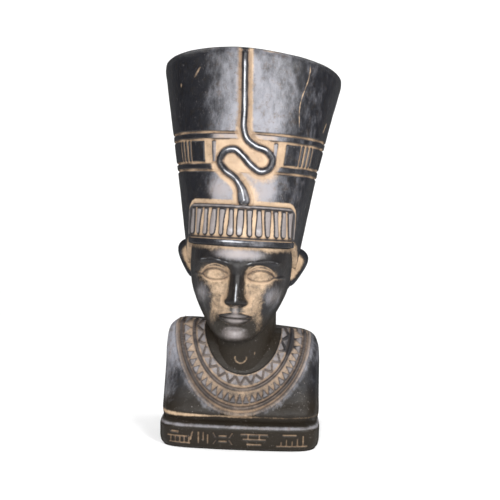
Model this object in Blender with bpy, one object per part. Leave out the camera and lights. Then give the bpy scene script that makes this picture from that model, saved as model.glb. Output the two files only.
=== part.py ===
"""A souvenir bust of an Egyptian queen in a tall crown with a flat top, cast as one solid.

The front looks along -Y, +Z is up, and the origin is at the middle of the plinth's underside.
Each mass (plinth, chest, neck, head, crown, ears) is a closed loft of horizontal outlines.
The carving is cut into the lofts' own grids, then the masses are fused and their facets thinned.
"""

import math

import bmesh
import bpy
import numpy as np

MM = 0.001  # metres in a millimetre: every size below is in millimetres, every angle in degrees

# Plinth: a squared block with worn edges
PLINTH_WIDTH = 82.0
PLINTH_DEPTH = 68.0
PLINTH_HEIGHT = 12.4
PLINTH_EDGE = 2.6
PLINTH_BOW = 2.0

# Chest: a block that tapers up to level shoulders
CHEST_WIDTH = 82.0
CHEST_DEPTH = 59.0
CHEST_TOP = 57.3
SHOULDER_SLANT = 4.5

# Neck and head. The face is laid out in thirds: chin to nose, nose to brow, brow to hair line
NECK_WIDTH = 37.0
CHIN_LEVEL = 52.5
FACE_THIRD = 19.0
HEAD_WIDTH = 54.6
HEAD_DEPTH = 58.0
FACE_FORWARD = 29.0
HEAD_TILT = 1.8
HEAD_SHIFT = -3.3

# Ears
EAR_HEIGHT = 21.0
EAR_REACH = 13.6
EAR_THICKNESS = 3.6
EAR_TURN = 38.0
EAR_SPLAY = 9.0
EAR_LEVEL = 91.5
EAR_SLANT = 2.0

# Crown
CROWN_HEIGHT = 99.2
CROWN_TOP_WIDTH = 100.0
CROWN_TOP_DEPTH = 92.0
CROWN_BASE_WIDTH = 58.8
CROWN_LEAN = 18.0
CROWN_DOME = 1.6
NAPE_DROP = 27.0
RIM_SLANT = 0.06
RIM_TILT = 1.4
RIM_DROP = 1.0

# Brow band: a raised plate over the forehead, with upright pleats in a sunk field
DIADEM_HEIGHT = 19.9
DIADEM_LENGTH = 60.0
DIADEM_FAN = 0.0097
DIADEM_RISE = 1.5
DIADEM_CORNER = 4.0
PLEAT_COUNT = 13
PLEAT_WIDTH = 2.95
PLEAT_RISE = 1.0
PLEAT_WANDER = 0.3
PLEAT_TOP_GAP = 2.2
PLEAT_FOOT_GAP = 4.4

# Ribbon round the crown: two raised strips, with panels and bars in the sunk field between them
RIBBON_LIFT = 37.2
RIBBON_DIP = 1.2
RIBBON_HEIGHT = 20.3
STRIP_WIDTH = 2.4
STRIP_RISE = 0.5
GROOVE_WIDTH = 1.3
GROOVE_DEPTH = 0.75
FIRST_PANEL = 39.0
PANELS_PER_SIDE = 5
PANEL_SPAN = 13.2
BAR_SPAN = 2.2
BAR_PITCH = 4.7
FRAME_BAR = 23.9

# Uraeus: a cobra down the front of the crown, in two loops, its head on the brow band
SNAKE_WIDTH = 3.2
SNAKE_HOOD = 6.0
SNAKE_RISE = 1.6
SNAKE_BED = 2.4

# Broad collar, seen from the front as a U about the neck
COLLAR_LEVEL = 60.0
COLLAR_SQUEEZE = 0.82
COLLAR_INNER = 20.6
COLLAR_ROW = 4.0
COLLAR_RING = 1.9
COLLAR_BORDER = 2.0
COLLAR_CUT = 0.7

# Row of shallow strokes on the plinth's front
STROKE_WIDTH = 0.9
STROKE_DEPTH = 0.5
STROKE_HEIGHT = 6.4

# Fineness of the lofts, of the fused surface and of the finished facets
ROW_STEP = 0.45
COLUMN_STEP = 0.5
FUSE_STEP = 0.6
FACET_COUNT = 9600

CROWN_BASE = CHIN_LEVEL + 2.57 * FACE_THIRD
CROWN_TOP = CROWN_BASE + CROWN_HEIGHT


def ramp(value, start, end):
    """0 up to start and 1 from end on, smooth between them."""
    share = np.clip((value - start) / (end - start), 0, 1)
    return share * share * (3 - 2 * share)


def bar(value, low, high, soft):
    """1 from low to high, with edges that are soft wide."""
    rising = ramp(value, low - soft / 2, low + soft / 2)
    return rising * (1 - ramp(value, high - soft / 2, high + soft / 2))


def bump(value, half):
    """A round hump, 1 at zero and 0 from half on."""
    share = np.clip(np.abs(value / half), 0, 1)
    return (1 - share**2) ** 2


def glide(knots, values, at):
    """A curve through the values at the knots that never overshoots them."""
    steps = np.diff(knots)[:, None]
    slopes = np.diff(values, axis=0) / steps
    before, after = slopes[:-1], slopes[1:]
    level = before * after <= 0
    middle = np.where(level, 0, 2 * before * after / np.where(level, 1, before + after))
    tangents = np.vstack([slopes[:1], middle, slopes[-1:]])
    index = np.clip(np.searchsorted(knots, at) - 1, 0, len(steps) - 1)
    width = steps[index]
    share = (at - knots[index])[:, None] / width
    start, end = values[index], values[index + 1]
    eased = share * share * (3 - 2 * share)
    leaving = tangents[index] * width * share * (1 - share) ** 2
    arriving = tangents[index + 1] * width * share**2 * (share - 1)
    return start + (end - start) * eased + leaving + arriving


class Skin:
    """A closed surface as a grid of points: rows up it, each a ring of columns round it."""

    def __init__(self, x, y, z):
        self.x, self.y, self.z = x, y, z

    def push(self, distance):
        """Moves the surface outwards by a distance at each point."""
        points = np.stack([self.x, self.y, self.z], axis=2)
        along = np.roll(points, -1, axis=1) - np.roll(points, 1, axis=1)
        outwards = np.cross(along, np.gradient(points, axis=0))
        outwards /= np.maximum(np.linalg.norm(outwards, axis=2, keepdims=True), 1e-9)
        points += outwards * distance[:, :, None]
        self.x, self.y, self.z = points[:, :, 0], points[:, :, 1], points[:, :, 2]

    def mesh(self):
        """The points and faces of the closed body, with a fan of triangles at each end."""
        points = np.stack([self.x, self.y, self.z], axis=2)
        rows, columns = points.shape[:2]
        ends = [points[0].mean(axis=0), points[-1].mean(axis=0)]
        corner = np.arange(rows * columns).reshape(rows, columns)
        beside = np.roll(corner, -1, axis=1)
        sides = np.stack([corner[:-1], beside[:-1], beside[1:], corner[1:]], axis=2)
        faces = sides.reshape(-1, 4).tolist()
        low, high = rows * columns, rows * columns + 1
        faces += [[low, b, a] for a, b in zip(corner[0], beside[0])]
        faces += [[high, a, b] for a, b in zip(corner[-1], beside[-1])]
        return np.vstack([points.reshape(-1, 3), ends]), faces


class Loft(Skin):
    """Outlines stacked up a mass, read from rows of level, front, widest, back, half width, squareness.

    front, widest and back are Y places: of the outline's front, of its widest line and of its back.
    """

    def __init__(self, rows):
        table = np.array(rows, float)
        runs = np.linalg.norm(np.diff(table[:, :5], axis=0), axis=1)
        knots = np.concatenate([[0], np.cumsum(runs)])
        count = math.ceil(knots[-1] / ROW_STEP) + 1
        read = glide(knots, table, np.linspace(0, knots[-1], count))
        girth = 2 * math.pi * max(read[:, 4].max(), (read[:, 3] - read[:, 1]).max() / 2)
        columns = math.ceil(girth / COLUMN_STEP)
        self.angle = np.linspace(-math.pi, math.pi, columns, endpoint=False)[None, :]
        level, front, widest, back, half, square = (read[:, i : i + 1] for i in range(6))
        ahead = np.cos(self.angle)
        depth = np.where(ahead > 0, widest - front, back - widest)
        across = np.abs(np.sin(self.angle) / half) ** square
        reach = (np.abs(ahead / depth) ** square + across) ** (-1 / square)
        self.angle = self.angle + 0 * reach
        self.level = level + 0 * reach
        super().__init__(reach * np.sin(self.angle), widest - reach * ahead, self.level.copy())


def tilted(body):
    """Leans a loft of the head to the right and moves it over, as the cast has it."""
    angle = math.radians(HEAD_TILT)
    side, up = body.x, body.z - CHIN_LEVEL
    body.x = side * math.cos(angle) + up * math.sin(angle) + HEAD_SHIFT
    body.z = up * math.cos(angle) - side * math.sin(angle) + CHIN_LEVEL
    return body


def plinth():
    half, front, back = PLINTH_WIDTH / 2, -PLINTH_DEPTH / 2, PLINTH_DEPTH / 2
    top, edge = PLINTH_HEIGHT, PLINTH_EDGE

    def row(level, inset, square=8.0):
        return level, front + inset, 0, back - inset, half - inset, square

    body = Loft(
        [
            row(-2.0, 1.9),
            row(0.3, 1.5),
            row(edge * 0.6, 0.6),
            row(edge * 1.6, 0.1),
            row(top - edge, 0),
            row(top - edge * 0.35, 0.5),
            row(top, 1.6),
            row(top + 0.5, 3.4),
            row(top + 1.2, 6.0),
            row(top + 1.6, 12.0),
        ]
    )
    body.push(-STROKE_DEPTH * strokes(body.x, body.z) * (np.cos(body.angle) > 0.3))
    body.y = body.y + PLINTH_BOW * (body.x / half) ** 2 * (body.y < 0)
    return body


def strokes(x, z):
    """1 inside the shallow strokes of the plinth's front: five groups of plain bars and ticks."""
    middle = PLINTH_HEIGHT * 0.47
    half, pen = STROKE_HEIGHT / 2, STROKE_WIDTH
    up = z - middle

    def upright(at, low, high, lean=0.0):
        across = x - at - lean * (up - low * half)
        return bar(across, -pen / 2, pen / 2, 0.4) * bar(up, low * half, high * half, 0.4)

    def level(start, end, at):
        return bar(up, at * half - pen / 2, at * half + pen / 2, 0.4) * bar(x, start, end, 0.4)

    comb = [level(-34.5, -23.5, -0.95), level(-35.5, -25, 0.1), level(-33.5, -29.5, 0.75)]
    comb += [upright(at, -0.9, 0.05) for at in np.arange(-33.5, -24, 2.3)] + [upright(-23.6, -0.5, 0.9, 0.25)]
    trio = [upright(-19.4, -0.9, 0.9), upright(-17.1, -0.4, 0.9), upright(-14.8, -0.9, 0.6)]
    ticks = [level(-9.6, -5.2, share) for share in (-0.4, 0.4)]
    ticks += [upright(at, low, low + 0.7, lean) for at, low, lean in (
        (-10.8, 0.2, -0.6), (-4.0, 0.2, 0.6), (-12.0, -0.9, 0.6), (-2.8, -0.9, -0.6))]
    bars = [level(1.5, 15.0, 0.8), level(2.5, 14.0, 0.05), level(4.5, 12.0, -0.75)]
    bars += [upright(at, 0.1, 0.8) for at in (5.2, 10.8)]
    steps = [level(19.0, 34.5, -0.95), level(22.0, 29.0, 0.85)]
    heights = (21.5, -0.2), (24.2, 0.2), (26.9, -0.1), (29.6, 0.3), (32.3, 0.75)
    steps += [upright(at, -0.9, high) for at, high in heights]
    return np.max(comb + trio + ticks + bars + steps, axis=0)


def chest():
    half, top = CHEST_WIDTH / 2, CHEST_TOP
    front, back = -CHEST_DEPTH / 2, CHEST_DEPTH / 2
    low = PLINTH_HEIGHT
    rise = (top - low) / 52.4

    body = Loft(
        [
            (low - 3.0, front + 1.5, 0, back, half - 1.0, 5.0),
            (low + 1.5 * rise, front + 0.6, 0, back, half - 0.4, 5.0),
            (low + 4.0 * rise, front + 0.4, 0, back, half, 5.0),
            (low + 13 * rise, front + 3.6, 0, back, half, 4.6),
            (low + 25 * rise, front + 8.4, 0, back - 0.8, half - 0.1, 4.4),
            (low + 36 * rise, front + 12.6, 0.5, back - 2.5, half, 4.4),
            (low + 44 * rise, front + 16.6, 1, back - 4.5, half - 0.4, 4.6),
            (low + 48.6 * rise, front + 20.0, 2, back - 6.5, half - 1.7, 4.6),
            (low + 51.2 * rise, front + 23.5, 4, back - 9.5, half - 4.8, 4.6),
            (low + 52.2 * rise, front + 27.0, 5, back - 13.0, half - 9.0, 4.0),
            (top, front + 31.0, 6, back - 19.0, half - 17.0, 3.0),
        ]
    )
    body.push(collar(body.x, body.y, body.z))
    slant = math.tan(math.radians(SHOULDER_SLANT))
    body.z = body.z - slant * body.x * ramp(body.z, low, top)
    return body


def collar(x, y, z):
    """How far the collar stands proud: two rows between rings and a border, by the distance from the neck."""
    out = np.hypot(x, COLLAR_SQUEEZE * np.minimum(z - COLLAR_LEVEL, 0))
    soft, gap = 0.7, 0.5
    heights = 0.0
    start = COLLAR_INNER
    for width, rise in (
        (COLLAR_ROW, 1.0), (COLLAR_RING, 1.35), (COLLAR_ROW, 1.0), (COLLAR_RING, 1.35), (COLLAR_BORDER, 0.8),
    ):
        heights = heights + rise * bar(out, start + gap, start + width, soft)
        start += width + gap
    return COLLAR_CUT * heights * (1 - ramp(y, 6, 12))


def neck():
    half = NECK_WIDTH / 2
    low, high = CHIN_LEVEL - 1.45 * FACE_THIRD, CHIN_LEVEL + 1.8 * FACE_THIRD
    return Loft(
        [
            (low, -half - 1.0, 0, half, half + 0.4, 2.2),
            (low + 12, -half - 1.3, 0, half, half, 2.2),
            (CHIN_LEVEL - 2, -half - 1.6, -0.5, half - 0.5, half - 0.8, 2.1),
            (CHIN_LEVEL + 10, -half - 2.0, -1, half, half - 1.2, 2.1),
            (CHIN_LEVEL + 22, -half - 2.0, -1, half + 2, half - 1.0, 2.1),
            (high, -half, -1, half + 3, half - 2, 2.1),
        ]
    )


def head():
    """An oval, narrow at the chin. Its rows are shares of the face's thirds and of the head's width."""
    third, half, front = FACE_THIRD, HEAD_WIDTH / 2, -FACE_FORWARD
    back = HEAD_DEPTH - FACE_FORWARD

    def row(thirds, setback, widest, behind, wide, square=2.0):
        at = CHIN_LEVEL + thirds * third
        return at, front + setback * half, widest * half, back * behind, wide * half, square

    body = Loft(
        [
            row(0.00, 0.14, -0.84, -0.62, 0.16),
            row(0.06, 0.045, -0.74, -0.30, 0.32),
            row(0.19, 0.00, -0.58, 0.10, 0.45),
            row(0.42, 0.00, -0.38, 0.50, 0.595, 2.05),
            row(0.70, 0.02, -0.22, 0.74, 0.725, 2.1),
            row(1.00, 0.03, -0.11, 0.85, 0.84, 2.15),
            row(1.37, 0.025, -0.04, 0.93, 0.94, 2.2),
            row(1.74, 0.02, 0.00, 0.98, 0.99, 2.2),
            row(2.00, 0.005, 0.00, 1.00, 1.00, 2.2),
            row(2.37, 0.00, 0.00, 1.00, 1.00, 2.15),
            row(2.74, 0.03, 0.00, 0.98, 0.985, 2.1),
            row(3.10, 0.12, 0.00, 0.90, 0.93, 2.0),
            row(3.50, 0.40, 0.00, 0.70, 0.70, 2.0),
        ]
    )
    forward = face(body.x / (HEAD_WIDTH / 5), (body.z - CHIN_LEVEL) / third)
    body.y = body.y - forward * ramp(np.cos(body.angle), 0.15, 0.45)
    return tilted(body)


def face(across, up):
    """How far the features stand forward of the oval, in millimetres.

    across counts eye widths from the middle, five of them to the face, and up counts thirds from the chin.
    """
    side = np.abs(across)
    return (
        brows(side, up) + eyes(side, up) + nose(side, up) + lips(side, up) + cheeks(side, up)
    )


def brows(side, up):
    arch = 2.06 + 0.10 * np.sin(np.clip((side - 0.3) / 1.5, 0, 1) * math.pi * 0.8)
    strip = bump(up - arch, 0.075) * bar(side, 0.42, 1.85, 0.3)
    ridge = bump(up - arch + 0.03, 0.26) * (1 - ramp(side, 1.2, 2.1))
    return 0.75 * strip + 0.9 * ridge


def eyes(side, up):
    """A socket, a lidded almond in it, and the cosmetic line that runs on from the outer corner."""
    centre, level = 1.04, 1.76
    along, above = side - centre, up - level
    socket = bump(np.hypot(along / 0.95, (above - 0.03) / 0.34), 1)
    inner_socket = bump(np.hypot((side - 0.42) / 0.36, (above - 0.02) / 0.30), 1)
    arc = np.clip(1 - (along / 0.60) ** 2, 0, 1) ** 0.75
    top, foot = 0.150 * arc, -0.105 * arc
    middle = (top + foot) / 2
    opening = np.maximum((top - foot) / 2, 0.004)
    ball = np.clip(1 - ((above - middle) / (opening + 0.05)) ** 2, 0, 1) * ramp(0.66 - np.abs(along), 0, 0.3)
    reach = 1 - ramp(np.abs(along), 0.56, 0.68)
    upper_lid = bump(above - top - 0.018, 0.048) * reach
    lower_lid = bump(above - foot + 0.012, 0.036) * reach
    crease = bump(above - top * 1.25 - 0.105, 0.035) * (1 - ramp(np.abs(along), 0.45, 0.7))
    line = bump(above + 0.01, 0.04) * bar(along, 0.58, 1.12, 0.12)
    return (
        -2.5 * socket - 1.1 * inner_socket + 1.35 * ball + 0.75 * upper_lid + 0.5 * lower_lid
        - 0.4 * crease + 0.45 * line
    )


def nose(side, up):
    """A straight bridge that widens to the tip, with wings and two nostrils under it."""
    places = np.array([0.94, 1.00, 1.06, 1.14, 1.30, 1.60, 1.86, 2.04, 2.24, 2.5])
    rise = np.array([0.0, 2.2, 6.4, 7.4, 6.3, 4.2, 2.7, 2.0, 1.1, 0.0])[:, None]
    width = np.array([0.40, 0.44, 0.46, 0.44, 0.36, 0.31, 0.34, 0.46, 0.75, 1.0])[:, None]
    shape = glide(places, np.hstack([rise, width]), np.clip(up, 0.94, 2.5).ravel())
    height, half = shape[:, 0].reshape(up.shape), shape[:, 1].reshape(up.shape)
    bridge = height * np.clip(1 - (side / (half * 1.25)) ** 2, 0, 1) ** 1.3
    wing = 3.1 * bump(np.hypot((side - 0.38) / 0.24, (up - 1.09) / 0.14), 1)
    crease = bump(np.hypot((side - 0.66) / 0.14, (up - 1.10) / 0.2), 1)
    nostril = bump(np.hypot((side - 0.20) / 0.13, (up - 1.015) / 0.05), 1)
    return np.maximum(bridge, wing) + 0.25 * np.minimum(bridge, wing) - 0.5 * crease - 1.4 * nostril


def lips(side, up):
    """A closed mouth with an even upper lip and a fuller lower one, on a low mound."""
    corner = 0.78
    slit = 0.665 + 0.010 * ramp(side, 0.35, corner)
    taper = np.clip(1 - (side / corner) ** 2, 0, 1)
    above, below = up - slit, slit - up
    high = 0.135 * taper**0.7 - 0.020 * bump(side, 0.16) + 0.01
    deep = 0.160 * taper**0.7 + 0.01
    upper = np.clip(4 * above / high * (1 - above / high), 0, 1) ** 0.6 * (above > 0)
    lower = np.clip(4 * below / deep * (1 - below / deep), 0, 1) ** 0.6 * (below > 0)
    mound = bump(np.hypot(side / 1.30, (up - 0.68) / 0.44), 1)
    mouth = 1.45 * upper * taper**0.6 + 1.70 * lower * taper**0.6
    cut = bump(above, 0.030) * (1 - ramp(side, corner - 0.05, corner + 0.08))
    dent = bump(np.hypot((side - corner) / 0.24, above / 0.17), 1)
    furrow = bump(side, 0.12) * bar(up, 0.82, 0.96, 0.06)
    under = bump(np.hypot(side / 0.70, (up - 0.41) / 0.11), 1)
    return 1.7 * mound + mouth - 0.8 * cut - 0.5 * dent - 0.45 * furrow - 0.9 * under


def cheeks(side, up):
    cheekbone = bump(np.hypot((side - 1.55) / 0.95, (up - 1.36) / 0.45), 1)
    hollow = bump(np.hypot((side - 1.45) / 0.7, (up - 0.75) / 0.35), 1)
    chin = bump(np.hypot(side / 0.85, (up - 0.20) / 0.26), 1)
    return 1.0 * cheekbone - 0.5 * hollow + 1.7 * chin


def ear(side):
    """A plate that stands out from the head: a rolled rim round a hollow, narrowing to the lobe."""
    rings, columns = 22, 72
    turn = np.linspace(0, 2 * math.pi, columns, endpoint=False)[None, :]
    half = EAR_HEIGHT / 2
    up = np.cos(turn)
    wide = EAR_REACH * (0.66 + 0.34 * up - 0.10 * up**3)
    rim_out = np.where(np.sin(turn) > 0, wide, EAR_REACH * 0.55) * np.sin(turn)
    rim_out = rim_out + math.tan(math.radians(EAR_SPLAY)) * half * up
    rim_up = half * up
    share = np.linspace(0, 1, rings)[:, None]
    thick = EAR_THICKNESS
    shell = np.sqrt(np.clip(1 - share**4, 0, 1))
    hollow = 1 - ramp(share, 0.55, 0.80)
    face_side = thick / 2 * shell * (1 - 1.25 * hollow)
    back_side = -thick / 2 * shell
    height = np.vstack([face_side[:-1], back_side[::-1]])
    share = np.vstack([share[:-1], share[::-1]])
    out, rise = share * rim_out, share * rim_up
    angle = math.radians(EAR_TURN)
    level = EAR_LEVEL - side * EAR_SLANT / 2
    height = height + 0 * out
    x = out * math.cos(angle) + height * math.sin(angle)
    y = out * math.sin(angle) - height * math.cos(angle)
    root = HEAD_WIDTH / 2 + 0.4
    order = slice(None, None, -1) if side > 0 else slice(None)
    places = (side * (root + x), 1.0 + y, level + rise)
    return tilted(Skin(*(place[1:-1, order] for place in places)))


def crown():
    low, top = CROWN_BASE, CROWN_TOP
    base, wide = CROWN_BASE_WIDTH / 2, CROWN_TOP_WIDTH / 2
    brow = -FACE_FORWARD - 1.2
    lean, depth = CROWN_LEAN, CROWN_TOP_DEPTH / 2
    tall = CROWN_HEIGHT

    def row(rise, shrink=0.0):
        """An outline at a share of the height, with shrink taken off all round."""
        front = brow + (lean - depth - brow) * rise**1.15
        back = base + 2.5 + (lean + depth - base - 2.5) * rise**0.85
        half = base + (wide - base) * (1.14 * rise - 0.14 * rise**2)
        return (
            low + tall * rise, front + shrink, lean * rise, back - shrink, half - shrink, 2.0,
        )

    rim = top - 1.0
    body = Loft(
        [row(0.0), row(0.09), row(0.19), row(0.35), row(0.55), row(0.75), row(0.90), row(0.955)]
        + [
            (rim - 1.2, *row(0.985, 0.5)[1:]),
            (rim + 0.2, *row(1.0, 1.7)[1:]),
            (rim + 1.0, *row(1.0, 4.0)[1:]),
            (rim + 1.0 + CROWN_DOME * 0.6, *row(1.0, 16.0)[1:]),
            (rim + 1.0 + CROWN_DOME, *row(1.0, 36.0)[1:]),
        ]
    )
    body.push(crown_carving(body.angle, body.level))
    rise = np.clip((body.level - low) / tall, 0, 1)
    degrees = np.degrees(np.abs(body.angle))
    body.z = body.z - NAPE_DROP * ramp(degrees, 60, 135) * (1 - ramp(rise, 0, 0.5)) ** 1.5
    tilt = math.tan(math.radians(RIM_TILT))
    drop = RIM_SLANT * (body.y - brow) + tilt * body.x + RIM_DROP * ramp(body.x, -10, 20)
    body.z = body.z - ramp(rise, 0.6, 1) * drop
    return tilted(body)


def crown_carving(angle, level):
    """The relief of the crown by the angle round it and the level up it."""
    flare = (CROWN_TOP_WIDTH - CROWN_BASE_WIDTH) / 2 / CROWN_HEIGHT
    along = angle * (CROWN_BASE_WIDTH / 2 + flare * (level - CROWN_BASE))
    distance, width = snake_distance(along, level)
    under_rim = CROWN_TOP - level
    body = np.clip(1 - (distance / (width / 2)) ** 3, 0, 1) ** 0.6 * ramp(under_rim, 1.6, 3.4)
    ribbon, field, cells = ribbon_relief(angle, level, along)
    bed = 1 - ramp(distance, width / 2 + SNAKE_BED * 0.4, width / 2 + SNAKE_BED)
    bed = bed * ramp(under_rim, 0.8, 2.2)
    ground = np.minimum(ribbon, -GROOVE_DEPTH * bed * (1 - cells))
    ground = np.where(body > 0, -GROOVE_DEPTH * np.maximum(bed, field), ground)
    return np.maximum(ground + SNAKE_RISE * body, -GROOVE_DEPTH) + diadem(angle, level)


def ribbon_relief(angle, level, along):
    """The ribbon's strips, panels and bars, where its plain field is, and where its panels and bars are."""
    foot = CROWN_BASE + RIBBON_LIFT - RIBBON_DIP * np.cos(angle)
    head = foot + RIBBON_HEIGHT
    soft = 0.6
    band = bar(level, foot, head, soft)
    strip_low = bar(level, foot + GROOVE_WIDTH, foot + GROOVE_WIDTH + STRIP_WIDTH, soft)
    strip_high = bar(level, head - GROOVE_WIDTH - STRIP_WIDTH, head - GROOVE_WIDTH, soft)
    inset = 2 * GROOVE_WIDTH + STRIP_WIDTH
    degrees = np.degrees(np.abs(angle))
    pitch = (180 - FIRST_PANEL) / PANELS_PER_SIDE
    from_panel = np.abs((degrees - FIRST_PANEL + pitch / 2) % pitch - pitch / 2)
    panel = 1 - ramp(from_panel, PANEL_SPAN / 2 - 0.5, PANEL_SPAN / 2 + 0.5)
    from_gap = pitch / 2 - from_panel
    bars = 1 - ramp(from_gap, BAR_SPAN / 2 - 0.4, BAR_SPAN / 2 + 0.4)
    beside = np.abs(from_gap - BAR_PITCH)
    bars = np.maximum(bars, 1 - ramp(beside, BAR_SPAN / 2 - 0.4, BAR_SPAN / 2 + 0.4))
    bars = bars * (degrees > FIRST_PANEL)
    bars = np.maximum(bars, 1 - ramp(np.abs(degrees - FRAME_BAR), BAR_SPAN / 2, BAR_SPAN / 2 + 0.8))
    outside = ramp(degrees, 21.0, 22.0)
    cells = np.maximum(panel, bars) * bar(level, foot + inset, head - inset, soft) * outside
    loops = 1 - ramp(np.abs(along), 16.0, 18.0)
    stem = 1 - ramp(np.abs(along), 2.6, 4.0)
    raised = np.maximum(strip_low * (1 - loops), strip_high * (1 - stem))
    field = band * (1 - raised) * (1 - cells)
    return -GROOVE_DEPTH * field + STRIP_RISE * raised, field, cells


def snake_path():
    """The cobra's line down the crown's front: millimetres to the side, and above the crown's base."""
    turns = [
        (-2.6, 99.2), (-1.8, 83.2), (-0.9, 65.2), (-0.7, 57.7), (1.2, 52.7), (5.8, 49.4), (11.6, 47.4),
        (15.2, 43.2), (13.2, 38.6), (8.6, 37.0), (4.2, 39.6), (-0.4, 44.1), (-5.2, 47.4),
        (-10.8, 45.8), (-12.8, 41.4), (-9.6, 37.0), (-4.0, 33.2), (-0.4, 28.2), (1.3, 22.4),
    ]
    points = np.array(turns)
    knots = np.concatenate([[0], np.cumsum(np.linalg.norm(np.diff(points, axis=0), axis=1))])
    at = np.linspace(0, knots[-1], 160)
    index = np.clip(np.searchsorted(knots, at) - 1, 0, len(points) - 2)
    slopes = np.gradient(points, knots, axis=0)
    width = (knots[index + 1] - knots[index])[:, None]
    share = (at - knots[index])[:, None] / width
    start, end = points[index], points[index + 1]
    eased = share * share * (3 - 2 * share)
    line = start + (end - start) * eased
    line += slopes[index] * width * share * (1 - share) ** 2
    line += slopes[index + 1] * width * share**2 * (share - 1)
    return line, at / knots[-1]


def snake_distance(along, level):
    """The distance to the cobra's middle line, and the cobra's width there."""
    line, share = snake_path()
    best = np.full(along.shape, 99.0)
    width = np.full(along.shape, SNAKE_WIDTH)
    near = (np.abs(along) < 24) & (level > CROWN_BASE + 14)
    side, up = along[near], level[near] - CROWN_BASE
    closest, hood = np.full(side.shape, 99.0), np.full(side.shape, SNAKE_WIDTH)
    for (x, z), at in zip(line, share):
        distance = np.hypot(side - x, up - z)
        nearer = distance < closest
        closest[nearer] = distance[nearer]
        hood[nearer] = SNAKE_WIDTH + (SNAKE_HOOD - SNAKE_WIDTH) * ramp(at, 0.92, 1.0)
    best[near], width[near] = closest, hood
    return best, width


def diadem(angle, level):
    """The brow band: a plate with rounded top corners, and rounded pleats in its sunk field."""
    up = level - CROWN_BASE
    along = angle * (CROWN_BASE_WIDTH / 2 + 1.5) * (1 + DIADEM_FAN * (up - DIADEM_HEIGHT / 2))
    half = DIADEM_LENGTH / 2
    side = np.maximum(np.abs(along) - half + DIADEM_CORNER, 0)
    over = np.maximum(up - DIADEM_HEIGHT + DIADEM_CORNER, 0)
    inside = DIADEM_CORNER - np.hypot(side, over)
    plate = ramp(inside, -0.35, 0.35)
    field = ramp(inside, 1.3, 1.9) * bar(up, PLEAT_FOOT_GAP - 0.8, DIADEM_HEIGHT, 0.6)
    pitch = (DIADEM_LENGTH - 2) / PLEAT_COUNT
    wandering = along + PLEAT_WANDER * np.sin(0.9 * along + 0.25 * up)
    from_pleat = (wandering + pitch / 2) % pitch - pitch / 2
    foot = np.maximum(PLEAT_FOOT_GAP + PLEAT_WIDTH / 2 - up, 0)
    round_off = np.hypot(from_pleat, foot) / (PLEAT_WIDTH / 2)
    pleat = np.sqrt(np.clip(1 - round_off**2, 0, 1)) * ramp(DIADEM_HEIGHT - PLEAT_TOP_GAP - up, -0.5, 0.5)
    groove = bump(up - 2.9, 0.5) * plate
    return DIADEM_RISE * plate - PLEAT_RISE * field * (1 - pleat) - 0.6 * groove


def joined(masses):
    """One object that holds every mass's closed surface."""
    points, faces, start = [], [], 0
    for mass in masses:
        own_points, own_faces = mass.mesh()
        points.append(own_points)
        faces += [[start + corner for corner in face] for face in own_faces]
        start += len(own_points)
    mesh = bpy.data.meshes.new("queen_bust")
    mesh.from_pydata((np.vstack(points) * MM).tolist(), [], faces)
    bust = bpy.data.objects.new("queen_bust", mesh)
    bpy.context.scene.collection.objects.link(bust)
    return bust


def settle(bust, add_modifiers):
    """Adds modifiers to the object and keeps what they make as its own mesh."""
    add_modifiers(bust)
    graph = bpy.context.evaluated_depsgraph_get()
    made = bpy.data.meshes.new_from_object(bust.evaluated_get(graph))
    bust.modifiers.clear()
    bust.data = made


def fuse(bust):
    remesh = bust.modifiers.new("fuse", "REMESH")
    remesh.mode = "VOXEL"
    remesh.voxel_size = FUSE_STEP * MM


def thin_out(bust):
    """Leaves about FACET_COUNT triangles, most of them where the surface turns most."""
    triangles = sum(len(face.vertices) - 2 for face in bust.data.polygons)
    thin = bust.modifiers.new("thin_out", "DECIMATE")
    thin.ratio = FACET_COUNT / triangles


def cut_flat(bust):
    """Cuts the underside flat at the origin's level and closes it."""
    work = bmesh.new()
    work.from_mesh(bust.data)
    everything = work.verts[:] + work.edges[:] + work.faces[:]
    made = bmesh.ops.bisect_plane(
        work, geom=everything, dist=1e-7, plane_co=(0, 0, 0), plane_no=(0, 0, 1), clear_inner=True
    )
    rim = [part for part in made["geom_cut"] if isinstance(part, bmesh.types.BMEdge)]
    bmesh.ops.contextual_create(work, geom=rim)
    bmesh.ops.triangulate(work, faces=work.faces)
    work.to_mesh(bust.data)
    work.free()


def cast_resin():
    """Dark blue-grey cast resin, the whole bust's one material."""
    material = bpy.data.materials.new("cast_resin")
    material.use_nodes = True
    shader = material.node_tree.nodes["Principled BSDF"]
    shader.inputs["Base Color"].default_value = (0.045, 0.046, 0.055, 1)
    shader.inputs["Roughness"].default_value = 0.45
    return material


def main():
    for old in list(bpy.data.objects):
        bpy.data.objects.remove(old)
    masses = [plinth(), chest(), neck(), head(), crown(), ear(-1), ear(1)]
    bust = joined(masses)
    settle(bust, fuse)
    settle(bust, thin_out)
    cut_flat(bust)
    bust.data.materials.append(cast_resin())


main()
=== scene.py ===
"""The cast bust of an Egyptian queen, dressed: fine carving, worn dark resin, tan paint in the hollows.

The form is worked out from the same sizes as the solid's, at full fineness, so that it keeps the solid's
shape. Each mass is a closed loft of horizontal outlines whose points also carry shares of paint. Sizes
are in millimetres of the bust at its named height and follow the frame's box.
"""

import math

import bpy
import numpy as np
from mathutils import Matrix, Vector, noise


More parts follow.
